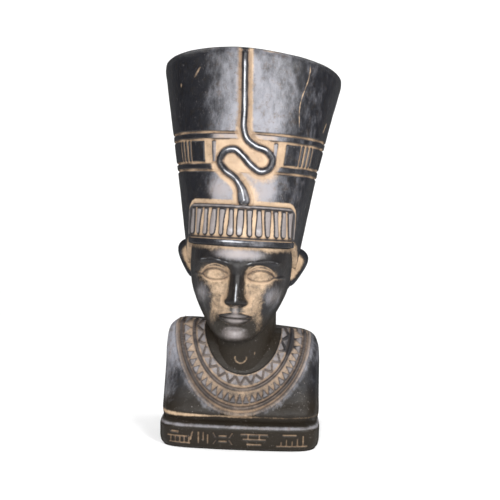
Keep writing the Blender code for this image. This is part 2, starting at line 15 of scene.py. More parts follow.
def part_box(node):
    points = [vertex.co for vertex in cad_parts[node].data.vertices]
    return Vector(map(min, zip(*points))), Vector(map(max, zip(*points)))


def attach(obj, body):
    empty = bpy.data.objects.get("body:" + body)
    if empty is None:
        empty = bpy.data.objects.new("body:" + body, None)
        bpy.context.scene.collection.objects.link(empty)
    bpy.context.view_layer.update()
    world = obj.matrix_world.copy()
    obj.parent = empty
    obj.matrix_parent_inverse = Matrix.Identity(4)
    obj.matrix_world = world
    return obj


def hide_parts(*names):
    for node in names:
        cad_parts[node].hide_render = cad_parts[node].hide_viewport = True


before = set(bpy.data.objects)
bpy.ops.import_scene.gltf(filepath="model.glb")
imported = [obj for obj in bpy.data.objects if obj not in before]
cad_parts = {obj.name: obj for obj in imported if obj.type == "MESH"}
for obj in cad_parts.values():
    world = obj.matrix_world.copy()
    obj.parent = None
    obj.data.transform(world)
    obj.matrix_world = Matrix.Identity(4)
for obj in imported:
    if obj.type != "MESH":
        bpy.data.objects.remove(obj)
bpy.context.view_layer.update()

# The bust's height in its own millimetres, and the metres that one of them takes in the frame
BUST_HEIGHT = 201.45
FRAME_LOW, FRAME_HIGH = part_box("queen_bust")
MM = (FRAME_HIGH.z - FRAME_LOW.z) / BUST_HEIGHT

# Plinth
PLINTH_WIDTH = 82.0
PLINTH_DEPTH = 68.0
PLINTH_HEIGHT = 12.4
PLINTH_EDGE = 2.6
PLINTH_BOW = 2.0

# Chest
CHEST_WIDTH = 82.0
CHEST_DEPTH = 59.0
CHEST_TOP = 57.3
SHOULDER_SLANT = 4.5
CHEST_PARTS = 52.4  # parts of its height that its rows are counted in

# Neck and head. The face is laid out in thirds: chin to nose, nose to brow, brow to hair line
NECK_WIDTH = 37.0
CHIN_LEVEL = 52.5
FACE_THIRD = 19.0
HAIR_LINE = 2.57
HEAD_WIDTH = 54.6
HEAD_DEPTH = 58.0
FACE_FORWARD = 29.0
HEAD_TILT = 1.8
HEAD_SHIFT = -3.3

# Ears
EAR_HEIGHT = 21.0
EAR_REACH = 13.6
EAR_THICKNESS = 3.6
EAR_TURN = 38.0
EAR_SPLAY = 9.0
EAR_LEVEL = 91.5
EAR_SLANT = 2.0

# Crown
CROWN_HEIGHT = 99.2
CROWN_TOP_WIDTH = 100.0
CROWN_TOP_DEPTH = 92.0
CROWN_BASE_WIDTH = 58.8
CROWN_LEAN = 18.0
CROWN_DOME = 1.6
NAPE_DROP = 27.0
RIM_SLANT = 0.06
RIM_TILT = 1.4
RIM_DROP = 1.0

# Brow band
DIADEM_HEIGHT = 19.9
DIADEM_LENGTH = 60.0
DIADEM_FAN = 0.0097
DIADEM_RISE = 1.5
DIADEM_CORNER = 4.0
DIADEM_BEAD = 1.1
PLEAT_COUNT = 13
PLEAT_WIDTH = 2.95
PLEAT_RISE = 1.0
PLEAT_WANDER = 0.3
PLEAT_TOP_GAP = 2.2
PLEAT_FOOT_GAP = 4.4

# Ribbon round the crown
RIBBON_LIFT = 37.2
RIBBON_DIP = 1.2
RIBBON_HEIGHT = 20.3
STRIP_WIDTH = 2.4
STRIP_RISE = 0.5
GROOVE_WIDTH = 1.3
GROOVE_DEPTH = 0.75
FIRST_PANEL = 39.0
PANELS_PER_SIDE = 5
PANEL_SPAN = 13.2
BAR_SPAN = 2.2
BAR_PITCH = 4.7
FRAME_BAR = 23.9

# Uraeus
SNAKE_WIDTH = 3.2
SNAKE_HOOD = 6.0
SNAKE_RISE = 1.6
SNAKE_BED = 2.4

# Broad collar
COLLAR_LEVEL = 60.0
COLLAR_SQUEEZE = 0.82
COLLAR_INNER = 20.6
COLLAR_ROW = 4.0
COLLAR_RING = 1.9
COLLAR_BORDER = 2.0
COLLAR_GAP = 0.5
COLLAR_CUT = 0.7
COLLAR_END = COLLAR_INNER + 2 * (COLLAR_ROW + COLLAR_RING) + 4 * COLLAR_GAP + COLLAR_BORDER
INNER_TOOTH = 5.4
OUTER_TOOTH = 3.2

# How far above the ribbon the crown's mesh is parted in two pieces
SEAM_GAP = 6.0

# Row of shallow strokes on the plinth's front
STROKE_WIDTH = 0.9
STROKE_DEPTH = 0.5
STROKE_HEIGHT = 6.4

# Fineness: the step between a loft's points at the front, and how much wider it is at the back
STEP = 0.40
FACE_STEP = 0.36
NECK_STEP = 0.55
BACK_STEPS = 3.0

# Points that curves are worked out at before they are spaced evenly, and the share of the way up a loft
# whose outline sets the spacing of its columns
LOFT_SAMPLES = 2000
TURN_SAMPLES = 4001
SNAKE_SAMPLES = 240
SPACED_AT = 0.45

# Lumps of the hand-finished surface: how high they are and how far apart
LUMP_HEIGHT = 0.10
LUMP_SIZE = 7.0

# Slopes where a relief's painted edge shade starts and is full, what counts as a full hollow and a full
# ridge, and the rounds that even out its mean level, its painted edge shade and its soft painted shade
EDGE_SHADE_SLOPE, FULL_SLOPE = 0.22, 0.75
HOLLOW_DEPTH, RIDGE_HEIGHT = 0.30, 0.25
MEAN_ROUNDS, EDGE_SHADE_ROUNDS, SHADE_ROUNDS = 14, 1, 9

CROWN_BASE = CHIN_LEVEL + HAIR_LINE * FACE_THIRD
CROWN_TOP = CROWN_BASE + CROWN_HEIGHT

# Paints, as linear colours
DARK = (0.0080, 0.0082, 0.0105)
# SLATE is a painted sheen, and also the lilac of the collar's triangles
SLATE = (0.222, 0.222, 0.246)
UMBER = (0.0120, 0.0090, 0.0060)
BROWN = (0.115, 0.072, 0.045)
# STONE_GREY is worn grey, and also painted highlights on the face and the plinth's edge
STONE_GREY = (0.225, 0.198, 0.192)
PALE_GREY = (0.20, 0.18, 0.17)
# A painted highlight
HIGHLIGHT_GREY = (0.44, 0.45, 0.48)
TAN = (0.300, 0.212, 0.136)
PALE_TAN = (0.425, 0.308, 0.205)

# How strongly the satin and the matt parts mirror the lights
SATIN_GLOSS = 0.24
MATT_GLOSS = 0.14

# How deep the resin's pits look
PIT_DEPTH = 0.30


def held(value):
    """The value, held between 0 and 1."""
    return np.clip(value, 0, 1)


def ramp(value, start, end):
    """0 up to start and 1 from end on, smooth between them."""
    share = held((value - start) / (end - start))
    return share * share * (3 - 2 * share)


def fade(value, start, end):
    """1 up to start and 0 from end on."""
    return 1 - ramp(value, start, end)


def bar(value, low, high, soft):
    """1 from low to high, with edges that are soft wide."""
    rising = ramp(value, low - soft / 2, low + soft / 2)
    return rising * fade(value, high - soft / 2, high + soft / 2)


def bump(value, half):
    """A round hump, 1 at zero and 0 from half on."""
    share = held(abs(value / half))
    return (1 - share**2) ** 2


def oval(across, up):
    """A round hump over an oval: 1 at its middle and 0 from its edge on."""
    return bump(np.hypot(across, up), 1)


def running(steps):
    """How far each point is along a line, from the steps between its points."""
    return np.concatenate([[0], np.cumsum(steps)])


def glide(knots, values, at):
    """A curve through the values at the knots that never overshoots them."""
    slopes = np.diff(values, axis=0) / np.diff(knots)[:, None]
    before, after = slopes[:-1], slopes[1:]
    level = before * after <= 0
    middle = np.where(level, 0, 2 * before * after / np.where(level, 1, before + after))
    return curve(knots, values, np.vstack([slopes[:1], middle, slopes[-1:]]), at)


def curve(knots, values, tangents, at):
    """A curve through the values at the knots, with a given slope at each."""
    index = np.clip(np.searchsorted(knots, at) - 1, 0, len(knots) - 2)
    width = np.diff(knots)[index][:, None]
    share = (at - knots[index])[:, None] / width
    start, end = values[index], values[index + 1]
    eased = share * share * (3 - 2 * share)
    leaving = tangents[index] * width * share * (1 - share) ** 2
    arriving = tangents[index + 1] * width * share**2 * (share - 1)
    return start + (end - start) * eased + leaving + arriving


PAINTS = ("tan", "slate", "grey", "umber", "ink", "shade", "hollow", "ridge", "polish", "shine")


class Skin:
    """A surface as a grid of points, rows up it and each a ring of columns, with shares of paint.

    The paints are tan, slate that is a painted sheen and the collar's lilac, worn grey that also paints
    highlights, umber, dark lines that on steep edges are painted shade with a soft painted shade beside
    them, how much a point lies in a hollow or on a ridge, polish, and painted highlights on polished
    crests.
    """

    def __init__(self, x, y, z):
        self.x, self.y, self.z = x, y, z
        self.paint = {name: np.zeros(x.shape) for name in PAINTS}
        self.foot_closed = self.head_closed = True

    def points(self):
        return np.stack([self.x, self.y, self.z], axis=2)

    def coat(self, **shares):
        """Adds shares of paint to what is on the surface."""
        for name, share in shares.items():
            self.paint[name] += share

    def push(self, distance):
        """Moves the surface outwards by a distance at each point."""
        points = self.points()
        along = np.roll(points, -1, axis=1) - np.roll(points, 1, axis=1)
        outwards = np.cross(along, np.gradient(points, axis=0))
        outwards /= np.maximum(np.linalg.norm(outwards, axis=2, keepdims=True), 1e-9)
        points += outwards * distance[:, :, None]
        self.x, self.y, self.z = np.moveaxis(points, 2, 0)

    def roughen(self):
        """Shallow lumps of a hand-finished cast, kept off the underside."""
        spots = self.points().reshape(-1, 3)
        spots = map(Vector, spots / LUMP_SIZE)
        lumps = [noise.noise(spot) + 0.35 * noise.noise(spot * 3.2) for spot in spots]
        self.push(LUMP_HEIGHT * np.reshape(lumps, self.x.shape) * ramp(self.z, 0.3, 2.0))

    def mark(self, relief, ridge=1.0):
        """Notes a relief's hollows and ridges, and paints shade on its steep edges and softly beside them.
        """
        points = self.points()
        beside = np.linalg.norm(np.roll(points, -1, axis=1) - np.roll(points, 1, axis=1), axis=2)
        above = np.linalg.norm(np.gradient(points, axis=0), axis=2)
        detail = relief - evened(relief, MEAN_ROUNDS)
        across = (np.roll(detail, -1, axis=1) - np.roll(detail, 1, axis=1)) / np.maximum(beside, 1e-6)
        upwards = np.gradient(detail, axis=0) / np.maximum(above, 1e-6)
        steep = ramp(np.hypot(across, upwards), EDGE_SHADE_SLOPE, FULL_SLOPE)
        # Painted shade: dark lines on the steep edges, and a softer shade spread out beside them
        self.coat(
            ink=evened(steep, EDGE_SHADE_ROUNDS),
            shade=held(1.6 * evened(steep, SHADE_ROUNDS)),
            hollow=held(-detail / HOLLOW_DEPTH),
            ridge=ridge * held(detail / RIDGE_HEIGHT),
        )

    def halves(self, row):
        """The surface below and above a row, which both keep."""
        spans = slice(row + 1), slice(row, None)
        below, above = (Skin(self.x[span], self.y[span], self.z[span]) for span in spans)
        for name, share in self.paint.items():
            below.paint[name], above.paint[name] = share[: row + 1], share[row:]
        below.head_closed = above.foot_closed = False
        return below, above

    def mesh(self):
        """The points, the faces, and for each face whether it is smooth. A closed end is a flat fan."""
        points = self.points()
        rows, columns = points.shape[:2]
        corner = np.arange(rows * columns).reshape(rows, columns)
        beside = np.roll(corner, -1, axis=1)
        sides = np.stack([corner[:-1], beside[:-1], beside[1:], corner[1:]], axis=2)
        faces = sides.reshape(-1, 4).tolist()
        smooth = [True] * len(faces)
        low, high = rows * columns, rows * columns + 1
        if self.foot_closed:
            faces += [[low, b, a] for a, b in zip(corner[0], beside[0])]
        if self.head_closed:
            faces += [[high, a, b] for a, b in zip(corner[-1], beside[-1])]
        smooth += [False] * (len(faces) - len(smooth))
        ends = [points[0].mean(axis=0), points[-1].mean(axis=0)]
        return np.vstack([points.reshape(-1, 3), ends]), faces, smooth


def evened(values, rounds):
    """Values on a grid of rings, evened out with their neighbours again and again."""
    for _ in range(rounds):
        values = 0.5 * values + 0.25 * (np.roll(values, 1, axis=1) + np.roll(values, -1, axis=1))
        padded = np.pad(values, ((1, 1), (0, 0)), mode="edge")
        values = 0.5 * values + 0.25 * (padded[:-2] + padded[2:])
    return values


class Loft(Skin):
    """Outlines stacked up a mass, read from rows of level, front, widest, back, half width, squareness.

    front, widest and back are Y places: of the outline's front, of its widest line and of its back.
    coarse_from is the row from which the rows lie coarser apart, where the mass is plain.
    """

    def __init__(self, rows, step=STEP, coarse_from=None):
        table = np.array(rows, float)
        knots = running(np.linalg.norm(np.diff(table[:, :5], axis=0), axis=1))
        fine = np.linspace(0, knots[-1], LOFT_SAMPLES)
        plain = len(knots) - 1 if coarse_from is None else coarse_from
        stride = step * (1 + 2 * ramp(fine, knots[plain], knots[plain] + 4))
        at = np.interp(even_places(fine, stride), np.arange(len(fine)), fine)
        read = glide(knots, table, at)
        self.angle = even_angles(glide(knots, table, knots[-1:] * SPACED_AT)[0], step)[None, :]
        level, front, widest, back, half, square = (read[:, i : i + 1] for i in range(6))
        x, y = outline(self.angle, front, widest, back, half, square)
        self.angle = self.angle + 0 * x
        self.level = level + 0 * x
        super().__init__(x, y, self.level.copy())


def outline(angle, front, widest, back, half, square):
    """The points of a superellipse by the angle from its front."""
    ahead = np.cos(angle)
    depth = np.where(ahead > 0, widest - front, back - widest)
    reach = (abs(ahead / depth) ** square + abs(np.sin(angle) / half) ** square) ** (-1 / square)
    return reach * np.sin(angle), widest - reach * ahead


def even_places(run, stride):
    """Places along an evenly numbered run so that the steps between them are about stride."""
    share = running(np.diff(run) / stride[1:])
    return np.interp(np.linspace(0, share[-1], math.ceil(share[-1]) + 1), share, np.arange(len(run)))


def even_angles(section, step):
    """Angles round a section whose points lie about step apart, and BACK_STEPS times that behind."""
    turn = np.linspace(-math.pi, math.pi, TURN_SAMPLES)
    x, y = outline(turn, *section[1:])
    run = running(np.hypot(np.diff(x), np.diff(y)))
    stride = step * (1 + (BACK_STEPS - 1) * ramp(-np.cos(turn), 0.15, 0.4))
    return np.interp(even_places(run, stride), np.arange(len(turn)), turn)[:-1]


def turned(across, up, degrees):
    """Two coordinates, or two directions, turned by an angle from up to across."""
    sine, cosine = math.sin(math.radians(degrees)), math.cos(math.radians(degrees))
    return across * cosine + up * sine, up * cosine - across * sine


def tilted(body):
    """Leans a loft of the head to the right and moves it over, as the cast has it."""
    side, up = turned(body.x, body.z - CHIN_LEVEL, HEAD_TILT)
    body.x, body.z = side + HEAD_SHIFT, up + CHIN_LEVEL
    return body


# Plinth


def plinth():
    half, front, back = PLINTH_WIDTH / 2, -PLINTH_DEPTH / 2, PLINTH_DEPTH / 2
    top, edge = PLINTH_HEIGHT, PLINTH_EDGE

    def row(level, inset, square=8.0):
        return level, front + inset, 0, back - inset, half - inset, square

    body = Loft([
        row(0.0, 1.56),
        row(0.3, 1.5),
        row(edge * 0.6, 0.6),
        row(edge * 1.6, 0.1),
        row(top - edge, 0),
        row(top - edge * 0.35, 0.5),
        row(top, 1.6),
        row(top + 0.5, 3.4),
        row(top + 1.2, 6.0),
        row(top + 1.6, 12.0),
    ])
    marks = strokes(body.x, body.z) * (np.cos(body.angle) > 0.3)
    body.push(-STROKE_DEPTH * marks)
    body.mark(-STROKE_DEPTH * marks, 0.2)
    body.y += PLINTH_BOW * (body.x / half) ** 2 * (body.y < 0)
    ahead = body.y < 0
    body.paint["hollow"] *= 0.4
    # Painted highlight along the plinth's top front edge, in slate and grey
    edge_highlight = bump(body.z - top + 0.8, 1.2) * ahead
    body.coat(umber=0.9, tan=0.50 * marks, shade=0.5 * marks, slate=0.70 * edge_highlight)
    body.coat(grey=0.34 * edge_highlight, polish=bump(body.z - top + 1.0, 1.2) * ahead)
    body.roughen()
    return body


def strokes(x, z):
    """1 inside the shallow strokes of the plinth's front: five groups of plain bars and ticks."""
    half, pen, soft = STROKE_HEIGHT / 2, STROKE_WIDTH, 0.4
    up = z - PLINTH_HEIGHT * 0.47

    def upright(at, low, high, lean=0.0):
        across = x - at - lean * (up - low * half)
        return bar(across, -pen / 2, pen / 2, soft) * bar(up, low * half, high * half, soft)

    def level(start, end, at):
        return bar(up, at * half - pen / 2, at * half + pen / 2, soft) * bar(x, start, end, soft)

    comb = [level(-34.5, -23.5, -0.95), level(-35.5, -25, 0.1), level(-33.5, -29.5, 0.75)]
    comb += [upright(at, -0.9, 0.05) for at in np.arange(-33.5, -24, 2.3)]
    comb += [upright(-23.6, -0.5, 0.9, 0.25)]
    trio = [upright(-19.4, -0.9, 0.9), upright(-17.1, -0.4, 0.9), upright(-14.8, -0.9, 0.6)]
    ticks = [level(-9.6, -5.2, share) for share in (-0.4, 0.4)]
    corners = (-10.8, 0.2, -0.6), (-4.0, 0.2, 0.6), (-12.0, -0.9, 0.6), (-2.8, -0.9, -0.6)
    ticks += [upright(at, low, low + 0.7, lean) for at, low, lean in corners]
    bars = [level(1.5, 15.0, 0.8), level(2.5, 14.0, 0.05), level(4.5, 12.0, -0.75)]
    bars += [upright(at, 0.1, 0.8) for at in (5.2, 10.8)]
    steps = [level(19.0, 34.5, -0.95), level(22.0, 29.0, 0.85)]
    heights = (21.5, -0.2), (24.2, 0.2), (26.9, -0.1), (29.6, 0.3), (32.3, 0.75)
    steps += [upright(at, -0.9, high) for at, high in heights]
    return np.max(comb + trio + ticks + bars + steps, axis=0)


# Chest and collar


def chest():
    half, front, back = CHEST_WIDTH / 2, -CHEST_DEPTH / 2, CHEST_DEPTH / 2
    low, top = PLINTH_HEIGHT, CHEST_TOP
    rise = (top - low) / CHEST_PARTS

    def row(parts, setback, widest, behind, inset, square):
        """An outline some parts up the chest, and how far each side stands in from the foot's."""
        return low + parts * rise, front + setback, widest, back - behind, half - inset, square

    body = Loft([
        (low - 3.0, front + 1.5, 0, back, half - 1.0, 5.0),
        row(1.5, 0.6, 0, 0, 0.4, 5.0),
        row(4.0, 0.4, 0, 0, 0, 5.0),
        row(13, 3.6, 0, 0, 0, 4.6),
        row(25, 8.4, 0, 0.8, 0.1, 4.4),
        row(36, 12.6, 0.5, 2.5, 0, 4.4),
        row(44, 16.6, 1, 4.5, 0.4, 4.6),
        row(48.6, 20.0, 2, 6.5, 1.7, 4.6),
        row(51.2, 23.5, 4, 9.5, 4.8, 4.6),
        row(52.2, 27.0, 5, 13.0, 9.0, 4.0),
        row(CHEST_PARTS, 31.0, 6, 19.0, 17.0, 3.0),
    ])
    relief, inside, lilac, out = collar(body.x, body.y, body.z)
    body.push(relief)
    body.mark(relief, 0.4)
    body.paint["hollow"] *= 0.65
    body.paint["ink"] *= 0.8
    slant = math.tan(math.radians(SHOULDER_SLANT))
    body.z -= slant * body.x * ramp(body.z, low, top)
    paint_chest(body, inside, lilac, out)
    body.roughen()
    return body


def paint_chest(body, inside, lilac, out):
    """A worn tan-grey collar and dark sides, with a painted sheen by the collar, on the corners and at the
    left.
    """
    ahead = fade(body.y, 6, 12)
    up = ramp(body.z, 22, 42)
    throat = fade(out, COLLAR_INNER - 1, COLLAR_INNER)
    inner_line = bump(out - COLLAR_INNER - 0.3, 0.8)
    body.paint["ink"] *= 1 + 0.22 * inside
    body.coat(
        umber=0.45 + 0.40 * fade(body.z, 18, 34) + 0.35 * inside + 0.6 * throat,
        tan=(0.40 + 0.22 * inner_line) * inside * ahead * (1 - 0.8 * lilac),
        shade=(0.10 + 0.30 * (1 - up)) * inside,
        grey=(0.32 + 0.16 * up) * inside * ahead,
        slate=0.62 * lilac * ahead,
        ink=0.9 * oval((body.x - 25) / 6, (body.z - 50) / 7) * ahead,
    )
    # Painted sheen in slate: a band along the collar's outer border, the upper corners and the left edge
    band = bump(out - COLLAR_END - 0.2, 2.6) * ahead * ramp(body.z, 14, 20)
    outside = (1 - inside) * ahead
    corner = bump(out - 41, 5) * ramp(body.z, 26, 44) * outside
    left_edge_sheen = ramp(-body.x, 30, 38) * ramp(body.z, 14, 26) * outside
    wide = 1.0 + 0.8 * ramp(-body.x, 12, 38)
    foot = bump((body.z - PLINTH_HEIGHT - 3.2) / wide, 1) * (body.y < 0)
    body.coat(
        slate=0.5 * band + 0.38 * corner + 0.55 * left_edge_sheen,
        tan=foot * (0.42 + 0.40 * ramp(-body.x, 0, 26)),
        shade=0.8 * foot * ramp(body.x, -20, 10),
    )


def collar(x, y, z):
    """The collar's relief, where the collar is, where it is lilac, and the distance out from the neck.

    Its inner row is a raised zigzag between sunk triangles, its outer row narrow teeth on the outer ring.
    """
    drop = COLLAR_SQUEEZE * np.minimum(z - COLLAR_LEVEL, 0)
    out = np.hypot(x, drop)
    turn = np.arctan2(x, -drop)
    along = turn * out + np.sign(x) * np.maximum(y + 10, 0) * (z >= COLLAR_LEVEL)
    gap = COLLAR_GAP
    row_a = COLLAR_INNER
    ring_a = row_a + COLLAR_ROW + gap
    row_b = ring_a + COLLAR_RING + gap
    ring_b = row_b + COLLAR_ROW + gap
    border = ring_b + COLLAR_RING + gap
    row, saw, across = tooth_row(out, along, row_a, INNER_TOOTH)
    zigzag, lilac = row * bump(saw - across, 0.24), row * ramp(abs(saw - across), 0.20, 0.34)
    row, saw, across = tooth_row(out, along, row_b, OUTER_TOOTH)
    points = row * ramp(saw - 1 + across * 0.95, -0.16, 0.16)
    relief = zigzag + points
    for start in (ring_a, ring_b):
        relief += 1.35 * bump(out - start - (gap + COLLAR_RING) / 2, COLLAR_RING * 0.55)
    relief += 0.8 * bar(out, border + gap, COLLAR_END, 0.9)
    relief += 0.5 * bump(out - row_a - 0.2, 0.5)
    ahead = fade(y, 6, 12)
    inside = bar(out, row_a, COLLAR_END, 0.8)
    return COLLAR_CUT * relief * ahead, inside, held(lilac + 0.8 * points), out


def tooth_row(out, along, start, pitch):
    """Where a row of teeth is, a saw from 0 to 1 and back along it, and the share of the way across it."""
    gap, wide = COLLAR_GAP, COLLAR_ROW
    scaled = along * (start + (gap + wide) / 2) / np.maximum(out, 1)
    saw = abs((scaled / pitch) % 1 - 0.5) * 2
    return bar(out, start + gap, start + wide, 0.4), saw, (out - start - gap) / (wide - gap)


# Neck and head


def neck():
    half = NECK_WIDTH / 2
    low, high = CHIN_LEVEL - 1.45 * FACE_THIRD, CHIN_LEVEL + 1.8 * FACE_THIRD
    body = Loft([
        (low, -half - 1.0, 0, half, half + 0.4, 2.2),
        (low + 12, -half - 1.3, 0, half, half, 2.2),
        (CHIN_LEVEL - 2, -half - 1.6, -0.5, half - 0.5, half - 0.8, 2.1),
        (CHIN_LEVEL + 10, -half - 2.0, -1, half, half - 1.2, 2.1),
        (CHIN_LEVEL + 22, -half - 2.0, -1, half + 2, half - 1.0, 2.1),
        (high, -half, -1, half + 3, half - 2, 2.1),
    ], NECK_STEP)
    ahead = body.y < 0
    chip = np.hypot(body.x + 0.2, body.z - 43.6)
    crescent = bump(chip - 2.9, 1.0) * (body.z < 44.2) * ahead
    spot = oval((body.x - 6.8) / 0.9, (body.z - 45.8) / 1.8) * ahead
    body.coat(umber=1.0, tan=0.60 * crescent + 0.6 * spot, shade=0.5 * crescent)
    body.push(0.25 * crescent)
    body.roughen()
    return body


def head():
    """An oval, narrow at the chin. Its rows are shares of the face's thirds and of the head's width."""
    third, half, front = FACE_THIRD, HEAD_WIDTH / 2, -FACE_FORWARD
    back = HEAD_DEPTH - FACE_FORWARD

    def row(thirds, setback, widest, behind, wide, square=2.0):
        at = CHIN_LEVEL + thirds * third
        return at, front + setback * half, widest * half, back * behind, wide * half, square

    body = Loft([
        row(0.00, 0.14, -0.84, -0.62, 0.16),
        row(0.06, 0.045, -0.74, -0.30, 0.32),
        row(0.19, 0.00, -0.58, 0.10, 0.45),
        row(0.42, 0.00, -0.38, 0.50, 0.595, 2.05),
        row(0.70, 0.02, -0.22, 0.74, 0.725, 2.1),
        row(1.00, 0.03, -0.11, 0.85, 0.84, 2.15),
        row(1.37, 0.025, -0.04, 0.93, 0.94, 2.2),
        row(1.74, 0.02, 0.00, 0.98, 0.99, 2.2),
        row(2.00, 0.005, 0.00, 1.00, 1.00, 2.2),
        row(2.37, 0.00, 0.00, 1.00, 1.00, 2.15),
        row(2.74, 0.03, 0.00, 0.98, 0.985, 2.1),
        row(3.10, 0.12, 0.00, 0.90, 0.93, 2.0),
        row(3.50, 0.40, 0.00, 0.70, 0.70, 2.0),
    ], FACE_STEP)
    across, up = body.x / (HEAD_WIDTH / 5), (body.z - CHIN_LEVEL) / third
    ahead = ramp(np.cos(body.angle), 0.15, 0.45)
    features = face(across, up) * ahead
    body.y -= features
    body.mark(features, 0.25)
    body.paint["ink"] *= 0.7
    paint_face(body, abs(across), up, ahead)
    body.roughen()
    return tilted(body)


def paint_face(body, side, up, ahead):
    """Tan paint in the face's hollows, painted highlights on its high places, and painted shade."""
    around_eye = oval((side - 1.0) / 1.45, (up - 1.74) / 0.52)
    inner_cheek = oval((side - 0.85) / 0.75, (up - 1.24) / 0.58)
    by_mouth = oval((side - 1.0) / 0.45, (up - 0.80) / 0.40)
    hair_line = ramp(up, HAIR_LINE - 0.26, HAIR_LINE - 0.04)
    nose_dark = bump(side, 0.52) * bar(up, 0.95, 2.15, 0.15)
    upper_lip = oval((side - 0.55) / 0.55, (up - 0.88) / 0.22)
    jowl = oval((side - 1.1) / 0.35, (up - 0.45) / 0.45)
    mouth = oval(side / 0.85, (up - 0.66) / 0.17)
    tan = 0.72 * around_eye + 0.62 * inner_cheek + 0.45 * by_mouth + 0.7 * upper_lip + 0.35 * jowl
    tan = np.clip(tan - 1.5 * nose_dark - 0.6 * mouth, 0, 0.64) + 0.7 * hair_line
    forehead = oval(side / 1.9, (up - 2.34) / 0.26)
    cheek = oval((side - 1.65) / 0.8, (up - 1.25) / 0.55)
    chin = oval(side / 1.0, (up - 0.25) / 0.34)
    lip = oval(side / 0.9, (up - 0.66) / 0.22) + bump(side, 0.24) * bar(up, 0.78, 1.0, 0.1)
    arch, brow = brow_line(side)
    over_brow = up - arch
    nose_shine = 0.8 * bump(side, 0.07) * bar(up, 1.08, 1.62, 0.2)
    # Painted highlights: slate and grey on the forehead, cheeks, chin and lips, pale lines on the nose and
    # over the brows. Painted shade: the face's outer sides, the jowls, beside the nose, and a dark line
    # under the brows
    body.coat(
        tan=tan * ahead,
        slate=held(0.9 * forehead + 0.5 * cheek + 0.5 * chin) * ahead,
        grey=held(0.60 * chin + 0.8 * forehead + 0.35 * cheek + 0.65 * lip) * ahead,
        umber=0.4 * fade(up, 0.3, 0.9) + 0.6,
        polish=0.6 * nose_dark * ahead * fade(up, 1.5, 1.9),
        shine=(nose_shine + 0.45 * bump(over_brow - 0.02, 0.035) * brow) * ahead,
        shade=0.35 * ramp(side, 0.9, 1.8) + 0.4 * jowl + 0.3 * bump(side - 0.55, 0.4),
        ink=0.8 * bump(over_brow + 0.045, 0.05) * brow * ahead,
    )


def face(across, up):
    """How far the features stand forward of the oval, in millimetres.

    across counts eye widths from the middle, five of them to the face, and up counts thirds from the chin.
    """
    side = abs(across)
    return brows(side, up) + eyes(side, up) + nose(side, up) + lips(side, up) + cheeks(side, up)


def brow_line(side):
    """The level of the brow's arch, and 1 where there is a brow."""
    return 2.06 + 0.10 * np.sin(held((side - 0.3) / 1.5) * math.pi * 0.8), bar(side, 0.42, 1.85, 0.3)


def brows(side, up):
    arch, brow = brow_line(side)
    ridge = bump(up - arch + 0.03, 0.26) * fade(side, 1.2, 2.1)
    return 0.75 * bump(up - arch, 0.075) * brow + 0.9 * ridge


def eyes(side, up):
    """A socket, a lidded almond in it, and the cosmetic line that runs on from the outer corner."""
    centre, level = 1.04, 1.76
    along, above = side - centre, up - level
    socket = oval(along / 0.95, (above - 0.03) / 0.34)
    inner_socket = oval((side - 0.42) / 0.36, (above - 0.02) / 0.30)
    arc = held(1 - (along / 0.60) ** 2) ** 0.75
    top, foot = 0.150 * arc, -0.105 * arc
    middle = (top + foot) / 2
    opening = np.maximum((top - foot) / 2, 0.004)
    ball = held(1 - ((above - middle) / (opening + 0.05)) ** 2)
    ball = ball * ramp(0.66 - abs(along), 0, 0.3)
    reach = fade(abs(along), 0.56, 0.68)
    upper_lid = bump(above - top - 0.018, 0.048) * reach
    lower_lid = bump(above - foot + 0.012, 0.036) * reach
    crease = bump(above - top * 1.25 - 0.105, 0.035) * fade(abs(along), 0.45, 0.7)
    line = bump(above + 0.01, 0.04) * bar(along, 0.58, 1.12, 0.12)
    hollows = -2.5 * socket - 1.1 * inner_socket - 0.4 * crease
    return hollows + 1.35 * ball + 0.75 * upper_lid + 0.5 * lower_lid + 0.45 * line


def nose(side, up):
    """A straight bridge that widens to the tip, with wings and two nostrils under it."""
    places = np.array([0.94, 1.00, 1.06, 1.14, 1.30, 1.60, 1.86, 2.04, 2.24, 2.5])
    rise = np.array([0.0, 2.2, 6.4, 7.4, 6.3, 4.2, 2.7, 2.0, 1.1, 0.0])[:, None]
    width = np.array([0.40, 0.44, 0.46, 0.44, 0.36, 0.31, 0.34, 0.46, 0.75, 1.0])[:, None]
    shape = glide(places, np.hstack([rise, width]), np.clip(up, 0.94, 2.5).ravel())
    height, half = shape[:, 0].reshape(up.shape), shape[:, 1].reshape(up.shape)
    bridge = height * held(1 - (side / (half * 1.25)) ** 2) ** 1.3
    wing = 3.1 * oval((side - 0.38) / 0.24, (up - 1.09) / 0.14)
    crease = oval((side - 0.66) / 0.14, (up - 1.10) / 0.2)
    nostril = oval((side - 0.20) / 0.13, (up - 1.015) / 0.05)
    body = np.maximum(bridge, wing) + 0.25 * np.minimum(bridge, wing)
    return body - 0.5 * crease - 1.4 * nostril


